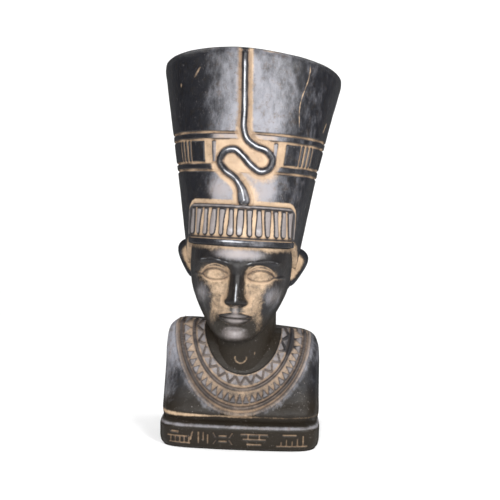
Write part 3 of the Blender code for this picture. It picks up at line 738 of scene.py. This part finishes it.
def lips(side, up):
    """A closed mouth with an even upper lip and a fuller lower one, on a low mound."""
    corner = 0.78
    slit = 0.665 + 0.010 * ramp(side, 0.35, corner)
    taper = held(1 - (side / corner) ** 2)
    above, below = up - slit, slit - up
    high = 0.135 * taper**0.7 - 0.020 * bump(side, 0.16) + 0.01
    deep = 0.160 * taper**0.7 + 0.01
    upper = held(4 * above / high * (1 - above / high)) ** 0.6 * (above > 0)
    lower = held(4 * below / deep * (1 - below / deep)) ** 0.6 * (below > 0)
    mound = oval(side / 1.30, (up - 0.68) / 0.44)
    mouth = 1.45 * upper * taper**0.6 + 1.70 * lower * taper**0.6
    cut = bump(above, 0.030) * fade(side, corner - 0.05, corner + 0.08)
    dent = oval((side - corner) / 0.24, above / 0.17)
    furrow = bump(side, 0.12) * bar(up, 0.82, 0.96, 0.06)
    under = oval(side / 0.70, (up - 0.41) / 0.11)
    return 1.7 * mound + mouth - 0.8 * cut - 0.5 * dent - 0.45 * furrow - 0.9 * under


def cheeks(side, up):
    cheekbone = oval((side - 1.55) / 0.95, (up - 1.36) / 0.45)
    hollow = oval((side - 1.45) / 0.7, (up - 0.75) / 0.35)
    chin = oval(side / 0.85, (up - 0.20) / 0.26)
    return 1.0 * cheekbone - 0.5 * hollow + 1.7 * chin


def ear(side):
    """A plate that stands out from the head: a rolled rim round a hollow, narrowing to the lobe."""
    rings, columns = 44, 180
    turn = np.linspace(0, 2 * math.pi, columns, endpoint=False)[None, :]
    half, thick, up = EAR_HEIGHT / 2, EAR_THICKNESS, np.cos(turn)
    wide = EAR_REACH * (0.66 + 0.34 * up - 0.10 * up**3)
    rim_out = np.where(np.sin(turn) > 0, wide, EAR_REACH * 0.55) * np.sin(turn)
    rim_out = rim_out + math.tan(math.radians(EAR_SPLAY)) * half * up
    share = np.linspace(0, 1, rings)[:, None]
    shell = np.sqrt(held(1 - share**4))
    hollow = fade(share, 0.55, 0.80)
    fold = bump(share - 0.52, 0.14) * ramp(np.sin(turn), -0.2, 0.4)
    face_side = thick / 2 * (shell * (1 - 1.25 * hollow) + 0.35 * fold)
    back_side = -thick / 2 * shell + 0 * turn
    height = np.vstack([face_side[:-1], back_side[::-1]])
    painted = np.vstack([hollow[:-1], 0 * hollow]) + 0 * turn
    share = np.vstack([share[:-1], share[::-1]])
    out, rise = share * rim_out, share * half * up
    level = EAR_LEVEL - side * EAR_SLANT / 2
    x, ahead = turned(out, height, EAR_TURN)
    root = HEAD_WIDTH / 2 + 0.4
    order = slice(None, None, -1) if side > 0 else slice(None)
    spots = (side * (root + x), 1.0 - ahead, level + rise, painted)
    *places, painted = (spot[1:-1, order] for spot in spots)
    body = Skin(*places)
    body.coat(tan=0.85 * painted, ink=0.4 * (1 - painted))
    body.roughen()
    return tilted(body)


# Crown


def crown():
    low, top = CROWN_BASE, CROWN_TOP
    base, wide = CROWN_BASE_WIDTH / 2, CROWN_TOP_WIDTH / 2
    brow = -FACE_FORWARD - 1.2
    lean, depth = CROWN_LEAN, CROWN_TOP_DEPTH / 2

    def row(rise, shrink=0.0, level=None):
        """An outline at a share of the height, or at a level, with shrink taken off all round."""
        front = brow + (lean - depth - brow) * rise**1.15
        back = base + 2.5 + (lean + depth - base - 2.5) * rise**0.85
        half = base + (wide - base) * (1.14 * rise - 0.14 * rise**2)
        level = low + CROWN_HEIGHT * rise if level is None else level
        return level, front + shrink, lean * rise, back - shrink, half - shrink, 2.0

    body = Loft([
        *(row(rise) for rise in (0.0, 0.09, 0.19, 0.35, 0.55, 0.75, 0.90, 0.955)),
        row(0.985, 0.5, top - 2.2),
        row(1.0, 1.7, top - 0.8),
        row(1.0, 4.0, top),
        row(1.0, 16.0, top + CROWN_DOME * 0.6),
        row(1.0, 36.0, top + CROWN_DOME),
    ], coarse_from=11)
    rise = held((body.level - low) / CROWN_HEIGHT)
    relief = crown_carving(body)
    body.push(relief)
    degrees = np.degrees(abs(body.angle))
    body.z -= NAPE_DROP * ramp(degrees, 60, 135) * fade(rise, 0, 0.5) ** 1.5
    tilt = math.tan(math.radians(RIM_TILT))
    drop = RIM_SLANT * (body.y - brow) + tilt * body.x + RIM_DROP * ramp(body.x, -10, 20)
    body.z -= ramp(rise, 0.6, 1) * drop
    body.roughen()
    return tilted(body)


def crown_carving(body):
    """The crown's relief, by the angle round it and the level up it. It also paints the crown."""
    angle, level = body.angle, body.level
    flare = (CROWN_TOP_WIDTH - CROWN_BASE_WIDTH) / 2 / CROWN_HEIGHT
    along = angle * (CROWN_BASE_WIDTH / 2 + flare * (level - CROWN_BASE))
    distance, width = snake_distance(along, level)
    from_snake = distance - width / 2
    under_rim = CROWN_TOP - level
    snake = held(1 - (distance / (width / 2)) ** 3) ** 0.6 * ramp(under_rim, 1.6, 3.4)
    ribbon, field, cells = ribbon_relief(angle, level, along)
    bed = fade(distance, width / 2 + SNAKE_BED * 0.4, width / 2 + SNAKE_BED)
    bed = bed * ramp(under_rim, 0.8, 2.2)
    ground = np.minimum(ribbon, -GROOVE_DEPTH * bed * (1 - cells))
    ground = np.where(snake > 0, -GROOVE_DEPTH * np.maximum(bed, field), ground)
    relief = np.maximum(ground + SNAKE_RISE * snake, -GROOVE_DEPTH)
    band_relief, plate, ground, flank_shade = diadem(angle, level)
    relief += band_relief
    body.mark(relief, 0.3)
    body.paint["ridge"] *= 1 + plate
    body.paint["ink"] *= 1 - bar(from_snake, 0.6, SNAKE_BED + 1, 0.4) * (1 - plate)
    crest_highlight = fade(distance, 0.15, 0.75) * (1 - 0.9 * ramp(abs(along - 1), 9, 13))
    # Painted shade on the pleats' sides and under the crown's rim, and a painted highlight down the cobra's
    # middle
    body.coat(
        ink=0.6 * flank_shade + 0.8 * fade(under_rim, 0.6, 2.4),
        shine=crest_highlight * ramp(under_rim, 4, 10) * (1 - plate),
    )
    paint_crown(body, along, from_snake, field, cells, plate)
    body.paint["tan"] = np.maximum(body.paint["tan"], ground)
    body.coat(tan=crown_scratches(np.degrees(angle), level))
    return relief


def paint_crown(body, along, from_snake, field, cells, plate):
    """Tan by the cobra, in the ribbon's ground and round the brow band; painted shade, highlights and
    sheen.
    """
    up, degrees = body.level - CROWN_BASE, np.degrees(body.angle)
    over_ribbon = RIBBON_LIFT + RIBBON_HEIGHT
    left_of_stem = ramp(-along, 1.8, 2.2) * ramp(up, over_ribbon, over_ribbon + 2)
    beside = (1 - 0.8 * ramp(from_snake, 1.4, SNAKE_BED + 1.6)) * (from_snake < SNAKE_BED + 1.6)
    beside = beside * (1 - 0.35 * left_of_stem)
    below = fade(up, RIBBON_LIFT - 2, RIBBON_LIFT + 3)
    smear = fade(from_snake, 1, np.where(along > 0, 8, 4)) * below
    halo = bar(diadem_place(body.angle, body.level)[2], -2.6, 0.1, 1.4) * (up > 2)
    temple = bar(abs(degrees), 58, 96, 8) * fade(up, 1, 6)
    clear = ramp(from_snake, -0.2, 0.3) * fade(plate, 0.2, 0.6)
    clear = clear * fade(up, CROWN_HEIGHT - 1, CROWN_HEIGHT)
    tan = np.maximum.reduce([0.95 * field, beside, 0.8 * smear, 0.85 * halo, 0.7 * temple])
    dipped = up + RIBBON_DIP * np.cos(body.angle)
    ribbon = bar(dipped, RIBBON_LIFT + 0.6, over_ribbon - 0.6, 1) * clear
    ribbon = ribbon * fade(abs(degrees), 20, 28)
    bead_shine = 0.9 * bump(up - 1.7, 0.8) * bump(degrees + 6, 34)
    pleat_shine = 0.6 * bump(up - PLEAT_FOOT_GAP - 3.0, 3.2) * bump(degrees, 34)
    bead_polish = bump(up - 1.2, 1.5) + 0.7 * bump(up - DIADEM_HEIGHT + 0.8, 0.9)
    # Painted shade beside the cobra and left of its stem, and painted highlights on the brow band's bead
    # and pleats
    body.coat(
        tan=np.maximum(tan * (1 - 0.75 * cells), 0.45 * ribbon) * clear,
        shade=0.8 * fade(from_snake, 0.2, 1.2) + 0.5 * left_of_stem,
        polish=1 - ramp(from_snake, -0.6, 0) + bead_polish * plate,
        shine=(bead_shine + pleat_shine) * plate,
    )
    # Painted sheen in slate on the crown's front and sides, less on the band and the cobra, and pale
    # painted highlight patches under the ribbon, in slate and grey
    painted_sheen = bump(degrees - 13, 32) + 0.68 * bump(degrees + 13, 27) + 0.34 * bump(degrees - 50, 24)
    painted_sheen = painted_sheen * (1.05 - 0.3 * ramp(up, 66, 96))
    on_snake = fade(from_snake, -0.3, 0.1)
    painted_sheen = 0.9 * held(painted_sheen) * (1 - 0.5 * plate) * (1 - 0.6 * on_snake)
    highlight_patch = oval((abs(degrees + 1) - 17) / 20, (up - 27) / 11) * (1 - plate)
    pleated = plate * (up > PLEAT_FOOT_GAP)
    body.coat(slate=painted_sheen + 0.5 * highlight_patch, grey=held(0.6 * highlight_patch + 0.8 * ribbon + 0.62 * pleated))
    wall = fade(up, CROWN_HEIGHT - 0.4, CROWN_HEIGHT + 0.1)
    for paint in ("slate", "polish", "shade"):
        body.paint[paint] *= wall


def crown_scratches(degrees, level):
    """A long scratch and a short one at the right of the crown, scuffs at its left, chips on its rim."""
    up = level - CROWN_BASE
    long_line = 39.5 - 1.6 * np.sin((up - 64) / 5.5)
    scratch = bump(degrees - long_line, 0.9) * bar(up, 60, 95, 6) * (0.85 + 0.15 * np.sin(up * 0.9))
    short_line = bump(degrees - 70 - 0.4 * (up - 64), 1.2) * bar(up, 61, 67, 1)
    scuffs = oval((degrees + 52) / 1.6, (up - 81) / 2.2)
    scuffs = scuffs + 0.7 * oval((degrees + 36 - (up - 86)) / 2.2, (up - 86) / 4.5)
    chips = bump(up - CROWN_HEIGHT + 1.2, 1.6) * (bump(degrees - 14, 13) + 0.6 * bump(degrees + 24, 14))
    return 0.75 * scratch + 0.7 * short_line + 0.8 * scuffs + 0.62 * chips


def ribbon_relief(angle, level, along):
    """The ribbon's strips, panels and bars, where its plain field is, and where its panels and bars are."""
    foot = CROWN_BASE + RIBBON_LIFT - RIBBON_DIP * np.cos(angle)
    head_line = foot + RIBBON_HEIGHT
    soft = 0.6
    band = bar(level, foot, head_line, soft)
    strip_low = bar(level, foot + GROOVE_WIDTH, foot + GROOVE_WIDTH + STRIP_WIDTH, soft)
    strip_top = head_line - GROOVE_WIDTH
    strip_high = bar(level, strip_top - STRIP_WIDTH, strip_top, soft)
    inset = 2 * GROOVE_WIDTH + STRIP_WIDTH
    degrees = np.degrees(abs(angle))
    pitch = (180 - FIRST_PANEL) / PANELS_PER_SIDE
    from_panel = abs((degrees - FIRST_PANEL + pitch / 2) % pitch - pitch / 2)
    half, edge = BAR_SPAN / 2, 0.4
    panel = fade(from_panel, PANEL_SPAN / 2 - 0.5, PANEL_SPAN / 2 + 0.5)
    from_gap = pitch / 2 - from_panel
    from_bar = np.minimum(from_gap, abs(from_gap - BAR_PITCH))
    bars = fade(from_bar, half - edge, half + edge) * (degrees > FIRST_PANEL)
    bars = np.maximum(bars, fade(abs(degrees - FRAME_BAR), half, half + 2 * edge))
    outside = ramp(degrees, 21.0, 22.0)
    cells = np.maximum(panel, bars) * bar(level, foot + inset, head_line - inset, soft) * outside
    loops = fade(abs(along), 16.0, 18.0)
    stem = fade(abs(along), 2.6, 4.0)
    raised = np.maximum(strip_low * (1 - loops), strip_high * (1 - stem))
    field = band * (1 - raised) * (1 - cells)
    return -GROOVE_DEPTH * field + STRIP_RISE * raised, field, cells


def snake_path():
    """The cobra's line down the crown's front: millimetres to the side, and above the crown's base."""
    turns = [
        (-2.6, 99.2), (-1.8, 83.2), (-0.9, 65.2), (-0.7, 57.7), (1.2, 52.7), (5.8, 49.4), (11.6, 47.4),
        (15.2, 43.2), (13.2, 38.6), (8.6, 37.0), (4.2, 39.6), (-0.4, 44.1), (-5.2, 47.4),
        (-10.8, 45.8), (-12.8, 41.4), (-9.6, 37.0), (-4.0, 33.2), (-0.4, 28.2), (1.3, 22.4),
    ]
    points = np.array(turns)
    knots = running(np.linalg.norm(np.diff(points, axis=0), axis=1))
    at = np.linspace(0, knots[-1], SNAKE_SAMPLES)
    return curve(knots, points, np.gradient(points, knots, axis=0), at), at / knots[-1]


def snake_distance(along, level):
    """The distance to the cobra's middle line, and the cobra's width there."""
    line, share = snake_path()
    best = np.full(along.shape, 99.0)
    width = np.full(along.shape, SNAKE_WIDTH)
    near = (abs(along) < 24) & (level > CROWN_BASE + 14)
    side, up = along[near], level[near] - CROWN_BASE
    closest, hood = np.full(side.shape, 99.0), np.full(side.shape, SNAKE_WIDTH)
    for (x, z), at in zip(line, share):
        distance = np.hypot(side - x, up - z)
        nearer = distance < closest
        closest[nearer] = distance[nearer]
        hood[nearer] = SNAKE_WIDTH + (SNAKE_HOOD - SNAKE_WIDTH) * ramp(at, 0.92, 1.0)
    best[near], width[near] = closest, hood
    return best, width


def diadem_place(angle, level):
    """Where a point is on the brow band, which narrows upwards: along it, up it, in from its edge."""
    up = level - CROWN_BASE
    along = angle * (CROWN_BASE_WIDTH / 2 + 1.5) * (1 + DIADEM_FAN * (up - DIADEM_HEIGHT / 2))
    side = np.maximum(abs(along) - DIADEM_LENGTH / 2 + DIADEM_CORNER, 0)
    over = np.maximum(up - DIADEM_HEIGHT + DIADEM_CORNER, 0)
    return along, up, DIADEM_CORNER - np.hypot(side, over)


def pleat_height(along, up):
    """How high the pleats stand in the brow band's sunk field, from 0 to 1."""
    pitch = (DIADEM_LENGTH - 2) / PLEAT_COUNT
    wandering = along + PLEAT_WANDER * np.sin(0.9 * along + 0.25 * up)
    from_pleat = (wandering + pitch / 2) % pitch - pitch / 2
    foot = np.maximum(PLEAT_FOOT_GAP + PLEAT_WIDTH / 2 - up, 0)
    round_off = np.hypot(from_pleat, foot) / (PLEAT_WIDTH / 2)
    under_top = ramp(DIADEM_HEIGHT - PLEAT_TOP_GAP - up, -0.5, 0.5)
    return np.sqrt(held(1 - round_off**2)) * under_top


def diadem(angle, level):
    """The brow band's relief, where it is, where its ground shows, and painted shade on the sides of its
    pleats.
    """
    along, up, inside = diadem_place(angle, level)
    plate = ramp(inside, -0.35, 0.35)
    field = ramp(inside, 1.3, 1.9) * bar(up, PLEAT_FOOT_GAP - 0.8, DIADEM_HEIGHT, 0.6)
    pleats = pleat_height(along, up)
    bead = bump(inside - 0.7, DIADEM_BEAD * 0.7) * (up > 0)
    relief = DIADEM_RISE * plate - PLEAT_RISE * field * (1 - pleats)
    relief = relief - 0.6 * bump(up - 2.9, 0.5) * plate + 0.3 * bead
    ground = 0.9 * field * (pleats < 0.02) + 0.7 * bump(up - 3.1, 1.0) * plate
    flank_shade = field * (pleats > 0.02) * fade(pleats, 0.50, 0.92)
    return relief, plate, held(ground), flank_shade


# Pieces


def placed(name, data):
    """A new object of the scene."""
    made = bpy.data.objects.new(name, data)
    bpy.context.scene.collection.objects.link(made)
    return made


def meshed(name, points, faces, smooth, material):
    mesh = bpy.data.meshes.new(name)
    mesh.from_pydata(points, [], faces)
    mesh.polygons.foreach_set("use_smooth", smooth)
    mesh.materials.append(material)
    return placed(name, mesh)


def dressed(name, skins, material):
    """One piece of the bust's surface, with its paints on its points."""
    points, faces, smooth, start = [], [], [], 0
    for skin in skins:
        own_points, own_faces, own_smooth = skin.mesh()
        points.append(own_points)
        faces += [[start + corner for corner in face] for face in own_faces]
        smooth += own_smooth
        start += len(own_points)
    piece = meshed(name, (np.vstack(points) * MM).tolist(), faces, smooth, material)
    for paint in PAINTS:
        shares = [skin.paint[paint] for skin in skins]
        values = np.concatenate([[*share.ravel(), share[0].mean(), share[-1].mean()] for share in shares])
        values = np.clip(values, 0, 1.2)
        piece.data.attributes.new(paint, "FLOAT", "POINT").data.foreach_set("value", values)
    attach(piece, "root")
    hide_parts("queen_bust")


# Material


class Shader:
    """Adds a material's nodes and joins them."""

    def __init__(self, name):
        self.material = bpy.data.materials.new(name)
        self.material.use_nodes = True
        self.tree = self.material.node_tree
        self.surface = self.tree.nodes["Principled BSDF"]
        self.place = self.node("ShaderNodeTexCoord").outputs["Object"]

    def node(self, kind, inputs=(), **settings):
        """A new node with its settings, and a value or a link in each socket that inputs names."""
        made = self.tree.nodes.new(kind)
        for name, value in settings.items():
            setattr(made, name, value)
        for socket, value in dict(inputs).items():
            self.plug(made.inputs[socket], value)
        return made

    def plug(self, socket, value):
        if isinstance(value, bpy.types.NodeSocket):
            self.tree.links.new(value, socket)
        elif isinstance(value, tuple):
            socket.default_value = (*value, 1)
        else:
            socket.default_value = value

    def sum(self, first, second, how="ADD"):
        return self.node("ShaderNodeMath", {0: first, 1: second}, operation=how).outputs[0]

    def product(self, first, second):
        return self.sum(first, second, "MULTIPLY")

    def attribute(self, name):
        return self.node("ShaderNodeAttribute", attribute_name=name).outputs["Fac"]

    def broken(self, name, noise, strength, middle=0.0):
        """A share of paint, broken up by noise: more where that is above its middle, less below."""
        noise = self.sum(noise, -middle) if middle else noise
        return self.sum(self.attribute(name), self.product(noise, strength))

    def ramp(self, value, start, end, low=0.0, high=1.0):
        spans = {"Value": value, "From Min": start, "From Max": end, "To Min": low, "To Max": high}
        return self.node("ShaderNodeMapRange", spans, interpolation_type="SMOOTHSTEP").outputs[0]

    def noise(self, size, detail=5.0, roughness=0.6, stretch=(1, 1, 1)):
        """Noise whose blotches are about size millimetres across, longer along a stretched axis."""
        mapping = self.node("ShaderNodeMapping")
        mapping.inputs["Scale"].default_value = tuple(1 / (size * MM * way) for way in stretch)
        self.plug(mapping.inputs["Vector"], self.place)
        values = {"Vector": mapping.outputs[0], "Scale": 1.0, "Detail": detail, "Roughness": roughness}
        return self.node("ShaderNodeTexNoise", values).outputs["Fac"]

    def blend(self, share, first, second):
        """A number between two numbers."""
        return self.node("ShaderNodeMix", {0: share, 2: first, 3: second}, data_type="FLOAT").outputs[0]

    def mix(self, share, first, second):
        """A colour between two colours."""
        return self.node("ShaderNodeMix", {0: share, 6: first, 7: second}, data_type="RGBA").outputs[2]


def worn_resin(name, gloss):
    """Dark cast resin with a painted sheen, painted highlights and shade, and tan paint left in the
    hollows.
    """
    make = Shader(name)
    blotch, fine = make.noise(9), make.noise(1.6, 6, 0.7)
    streak = make.noise(5.0, 6, 0.72, stretch=(1, 1, 2))

    umber = make.ramp(make.broken("umber", blotch, 0.5), 0.55, 1.2)
    colour = make.mix(umber, DARK, UMBER)
    # Painted sheen in slate
    slate = make.ramp(make.broken("slate", streak, 1.5, 0.5), 0.15, 1.15, 0, 0.8)
    colour = make.mix(slate, colour, SLATE)
    rust = make.product(make.ramp(make.noise(3.0, 6, 0.75), 0.50, 0.66), 0.55)
    colour = make.mix(rust, colour, make.mix(slate, UMBER, BROWN))
    grey = make.ramp(make.broken("grey", make.sum(blotch, fine), 0.35), 0.45, 1.25, 0, 0.9)
    colour = make.mix(grey, colour, STONE_GREY)
    edge = make.ramp(make.broken("ridge", blotch, 0.6), 0.65, 1.35, 0, 0.5)
    colour = make.mix(edge, colour, PALE_GREY)
    # Painted highlights in pale grey
    shine = make.ramp(make.broken("shine", make.noise(6, 4, 0.6), 1.7, 0.5), 0.30, 1.05, 0, 0.85)
    colour = make.mix(shine, colour, HIGHLIGHT_GREY)

    dust = make.product(make.attribute("hollow"), 0.45)
    tan = make.sum(make.attribute("tan"), dust)
    tan = make.sum(tan, make.product(make.sum(make.sum(fine, make.product(blotch, 0.7)), -0.85), 0.8))
    tan = make.ramp(tan, 0.20, 0.95, 0, 0.94)
    tan_colour = make.mix(make.ramp(blotch, 0.35, 0.7), TAN, PALE_TAN)
    # Painted shade browns the tan, with brown mottling at random added
    grime = make.ramp(make.noise(2.6, 7, 0.75), 0.50, 0.72, 0, 0.45)
    shade = make.sum(make.ramp(make.broken("shade", blotch, 0.8, 0.5), 0.2, 1.1, 0, 0.75), grime)
    tan_colour = make.mix(shade, tan_colour, BROWN)
    colour = make.mix(tan, colour, tan_colour)
    speck = make.product(make.ramp(make.noise(1.0, 3, 0.6), 0.60, 0.72), make.ramp(blotch, 0.40, 0.65))
    colour = make.mix(make.product(speck, 0.35), colour, STONE_GREY)
    # Painted shade: dark lines along steep edges, mixed towards DARK
    ink = make.ramp(make.broken("ink", fine, 0.5, 0.5), 0.25, 0.95, 0, 0.92)
    colour = make.mix(ink, colour, DARK)
    make.plug(make.surface.inputs["Base Color"], colour)

    satin = make.ramp(make.noise(3.5, 5, 0.6), 0.3, 0.75, 0.36, 0.50)
    rough = make.blend(tan, satin, 0.75)
    rough = make.blend(make.ramp(make.attribute("polish"), 0.3, 0.9), rough, 0.30)
    edge_on = make.node("ShaderNodeLayerWeight").outputs["Facing"]
    rough = make.blend(make.ramp(edge_on, 0.45, 0.85), rough, 1.0)
    make.plug(make.surface.inputs["Roughness"], rough)
    make.surface.inputs["Specular IOR Level"].default_value = gloss

    pits = make.sum(make.noise(0.9, 4, 0.6), make.product(make.noise(4.0, 3, 0.5), 1.5))
    relief = make.node("ShaderNodeBump", {"Strength": 0.35, "Distance": PIT_DEPTH * MM, "Height": pits})
    make.plug(make.surface.inputs["Normal"], relief.outputs[0])
    return make.material


def bust():
    satin, matt = worn_resin("satin_resin", SATIN_GLOSS), worn_resin("matt_resin", MATT_GLOSS)
    crown_whole = crown()
    seam = CROWN_BASE + RIBBON_LIFT + RIBBON_HEIGHT + SEAM_GAP
    crown_wall, crown_top = crown_whole.halves(int(np.searchsorted(crown_whole.level[:, 0], seam)))
    dressed("plinth", [plinth()], matt)
    dressed("chest", [chest()], matt)
    dressed("neck", [neck()], matt)
    dressed("head", [head()], satin)
    dressed("ears", [ear(-1), ear(1)], matt)
    dressed("crown_wall", [crown_wall], satin)
    dressed("crown_top", [crown_top], satin)


# Studio


def sweep():
    """A pale floor that curves up into a backdrop."""
    half, near, far, high, bend, steps = 0.85, -1.4, 1.2, 2.4, 0.5, 12
    profile = [(near, 0.0), (far - bend, 0.0)]
    for step in range(1, steps + 1):
        turn = math.pi / 2 * step / steps
        profile.append((far - bend + bend * math.sin(turn), bend - bend * math.cos(turn)))
    profile.append((far, high))
    points = [(side * half, y, z) for y, z in profile for side in (-1, 1)]
    faces = [(2 * i, 2 * i + 1, 2 * i + 3, 2 * i + 2) for i in range(len(profile) - 1)]
    paper = Shader("paper")
    grain = paper.ramp(paper.noise(30), 0.2, 0.8, 0.86, 0.90)
    shade = paper.node("ShaderNodeCombineColor", {"Red": grain, "Green": grain, "Blue": grain})
    paper.plug(paper.surface.inputs["Base Color"], shade.outputs[0])
    paper.surface.inputs["Roughness"].default_value = 0.9
    meshed("sweep", points, faces, [True] * len(faces), paper.material)


def softbox(name, place, target, width, height, power):
    light = bpy.data.lights.new(name, "AREA")
    light.shape = "RECTANGLE"
    light.size, light.size_y, light.energy = width, height, power
    lamp = placed(name, light)
    lamp.location = place
    lamp.rotation_euler = (Vector(target) - Vector(place)).to_track_quat("-Z", "Y").to_euler()


def lights():
    """Three tall soft lights round the camera, and two lamps that whiten the backdrop."""
    middle, backdrop = (0, 0, 0.12), (0, 1.1, 0.5)
    softbox("front", (0.0, -0.74, 0.36), middle, 0.20, 0.32, 5)
    softbox("right", (0.46, -0.56, 0.34), middle, 0.22, 0.36, 6)
    softbox("left", (-0.34, -0.64, 0.34), middle, 0.14, 0.36, 3)
    softbox("left_wash", (-0.9, 0.35, 1.4), backdrop, 0.8, 0.8, 14)
    softbox("right_wash", (0.9, 0.35, 1.4), backdrop, 0.8, 0.8, 14)
    world = bpy.data.worlds.new("room")
    world.use_nodes = True
    glow = world.node_tree.nodes["Background"].inputs
    glow["Color"].default_value = (1, 1, 1, 1)
    glow["Strength"].default_value = 0.03
    bpy.context.scene.world = world
    bpy.context.scene.view_settings.view_transform = "Standard"


# Camera: close to the bust, a little to the right, slightly above its middle and slightly rolled
CAMERA_DISTANCE = 340.0
CAMERA_HEIGHT = 108.6
CAMERA_ASIDE = 2.3
CAMERA_AZIMUTH = 2.8
CAMERA_PITCH = 1.74
CAMERA_ROLL = 1.35
CAMERA_LENS = 45.2


def camera():
    aside, level = turned(Vector((1, 0, 0)), Vector((0, 1, 0)), CAMERA_AZIMUTH)
    _, ahead = turned(Vector((0, 0, 1)), level, CAMERA_PITCH)
    right, _ = turned(aside, aside.cross(ahead), CAMERA_ROLL)
    place = (aside * CAMERA_ASIDE - level * CAMERA_DISTANCE) * MM
    place.z = CAMERA_HEIGHT * MM
    view = bpy.data.cameras.new("photo_view")
    view.lens = CAMERA_LENS
    view.sensor_width = 36
    view.clip_start = 0.01
    eye = placed("photo_view", view)
    axes = Matrix((right, -ahead.cross(right), -ahead)).transposed()
    eye.matrix_world = Matrix.Translation(place) @ axes.to_4x4()
    bpy.context.scene.camera = eye


bust()
sweep()
lights()
camera()
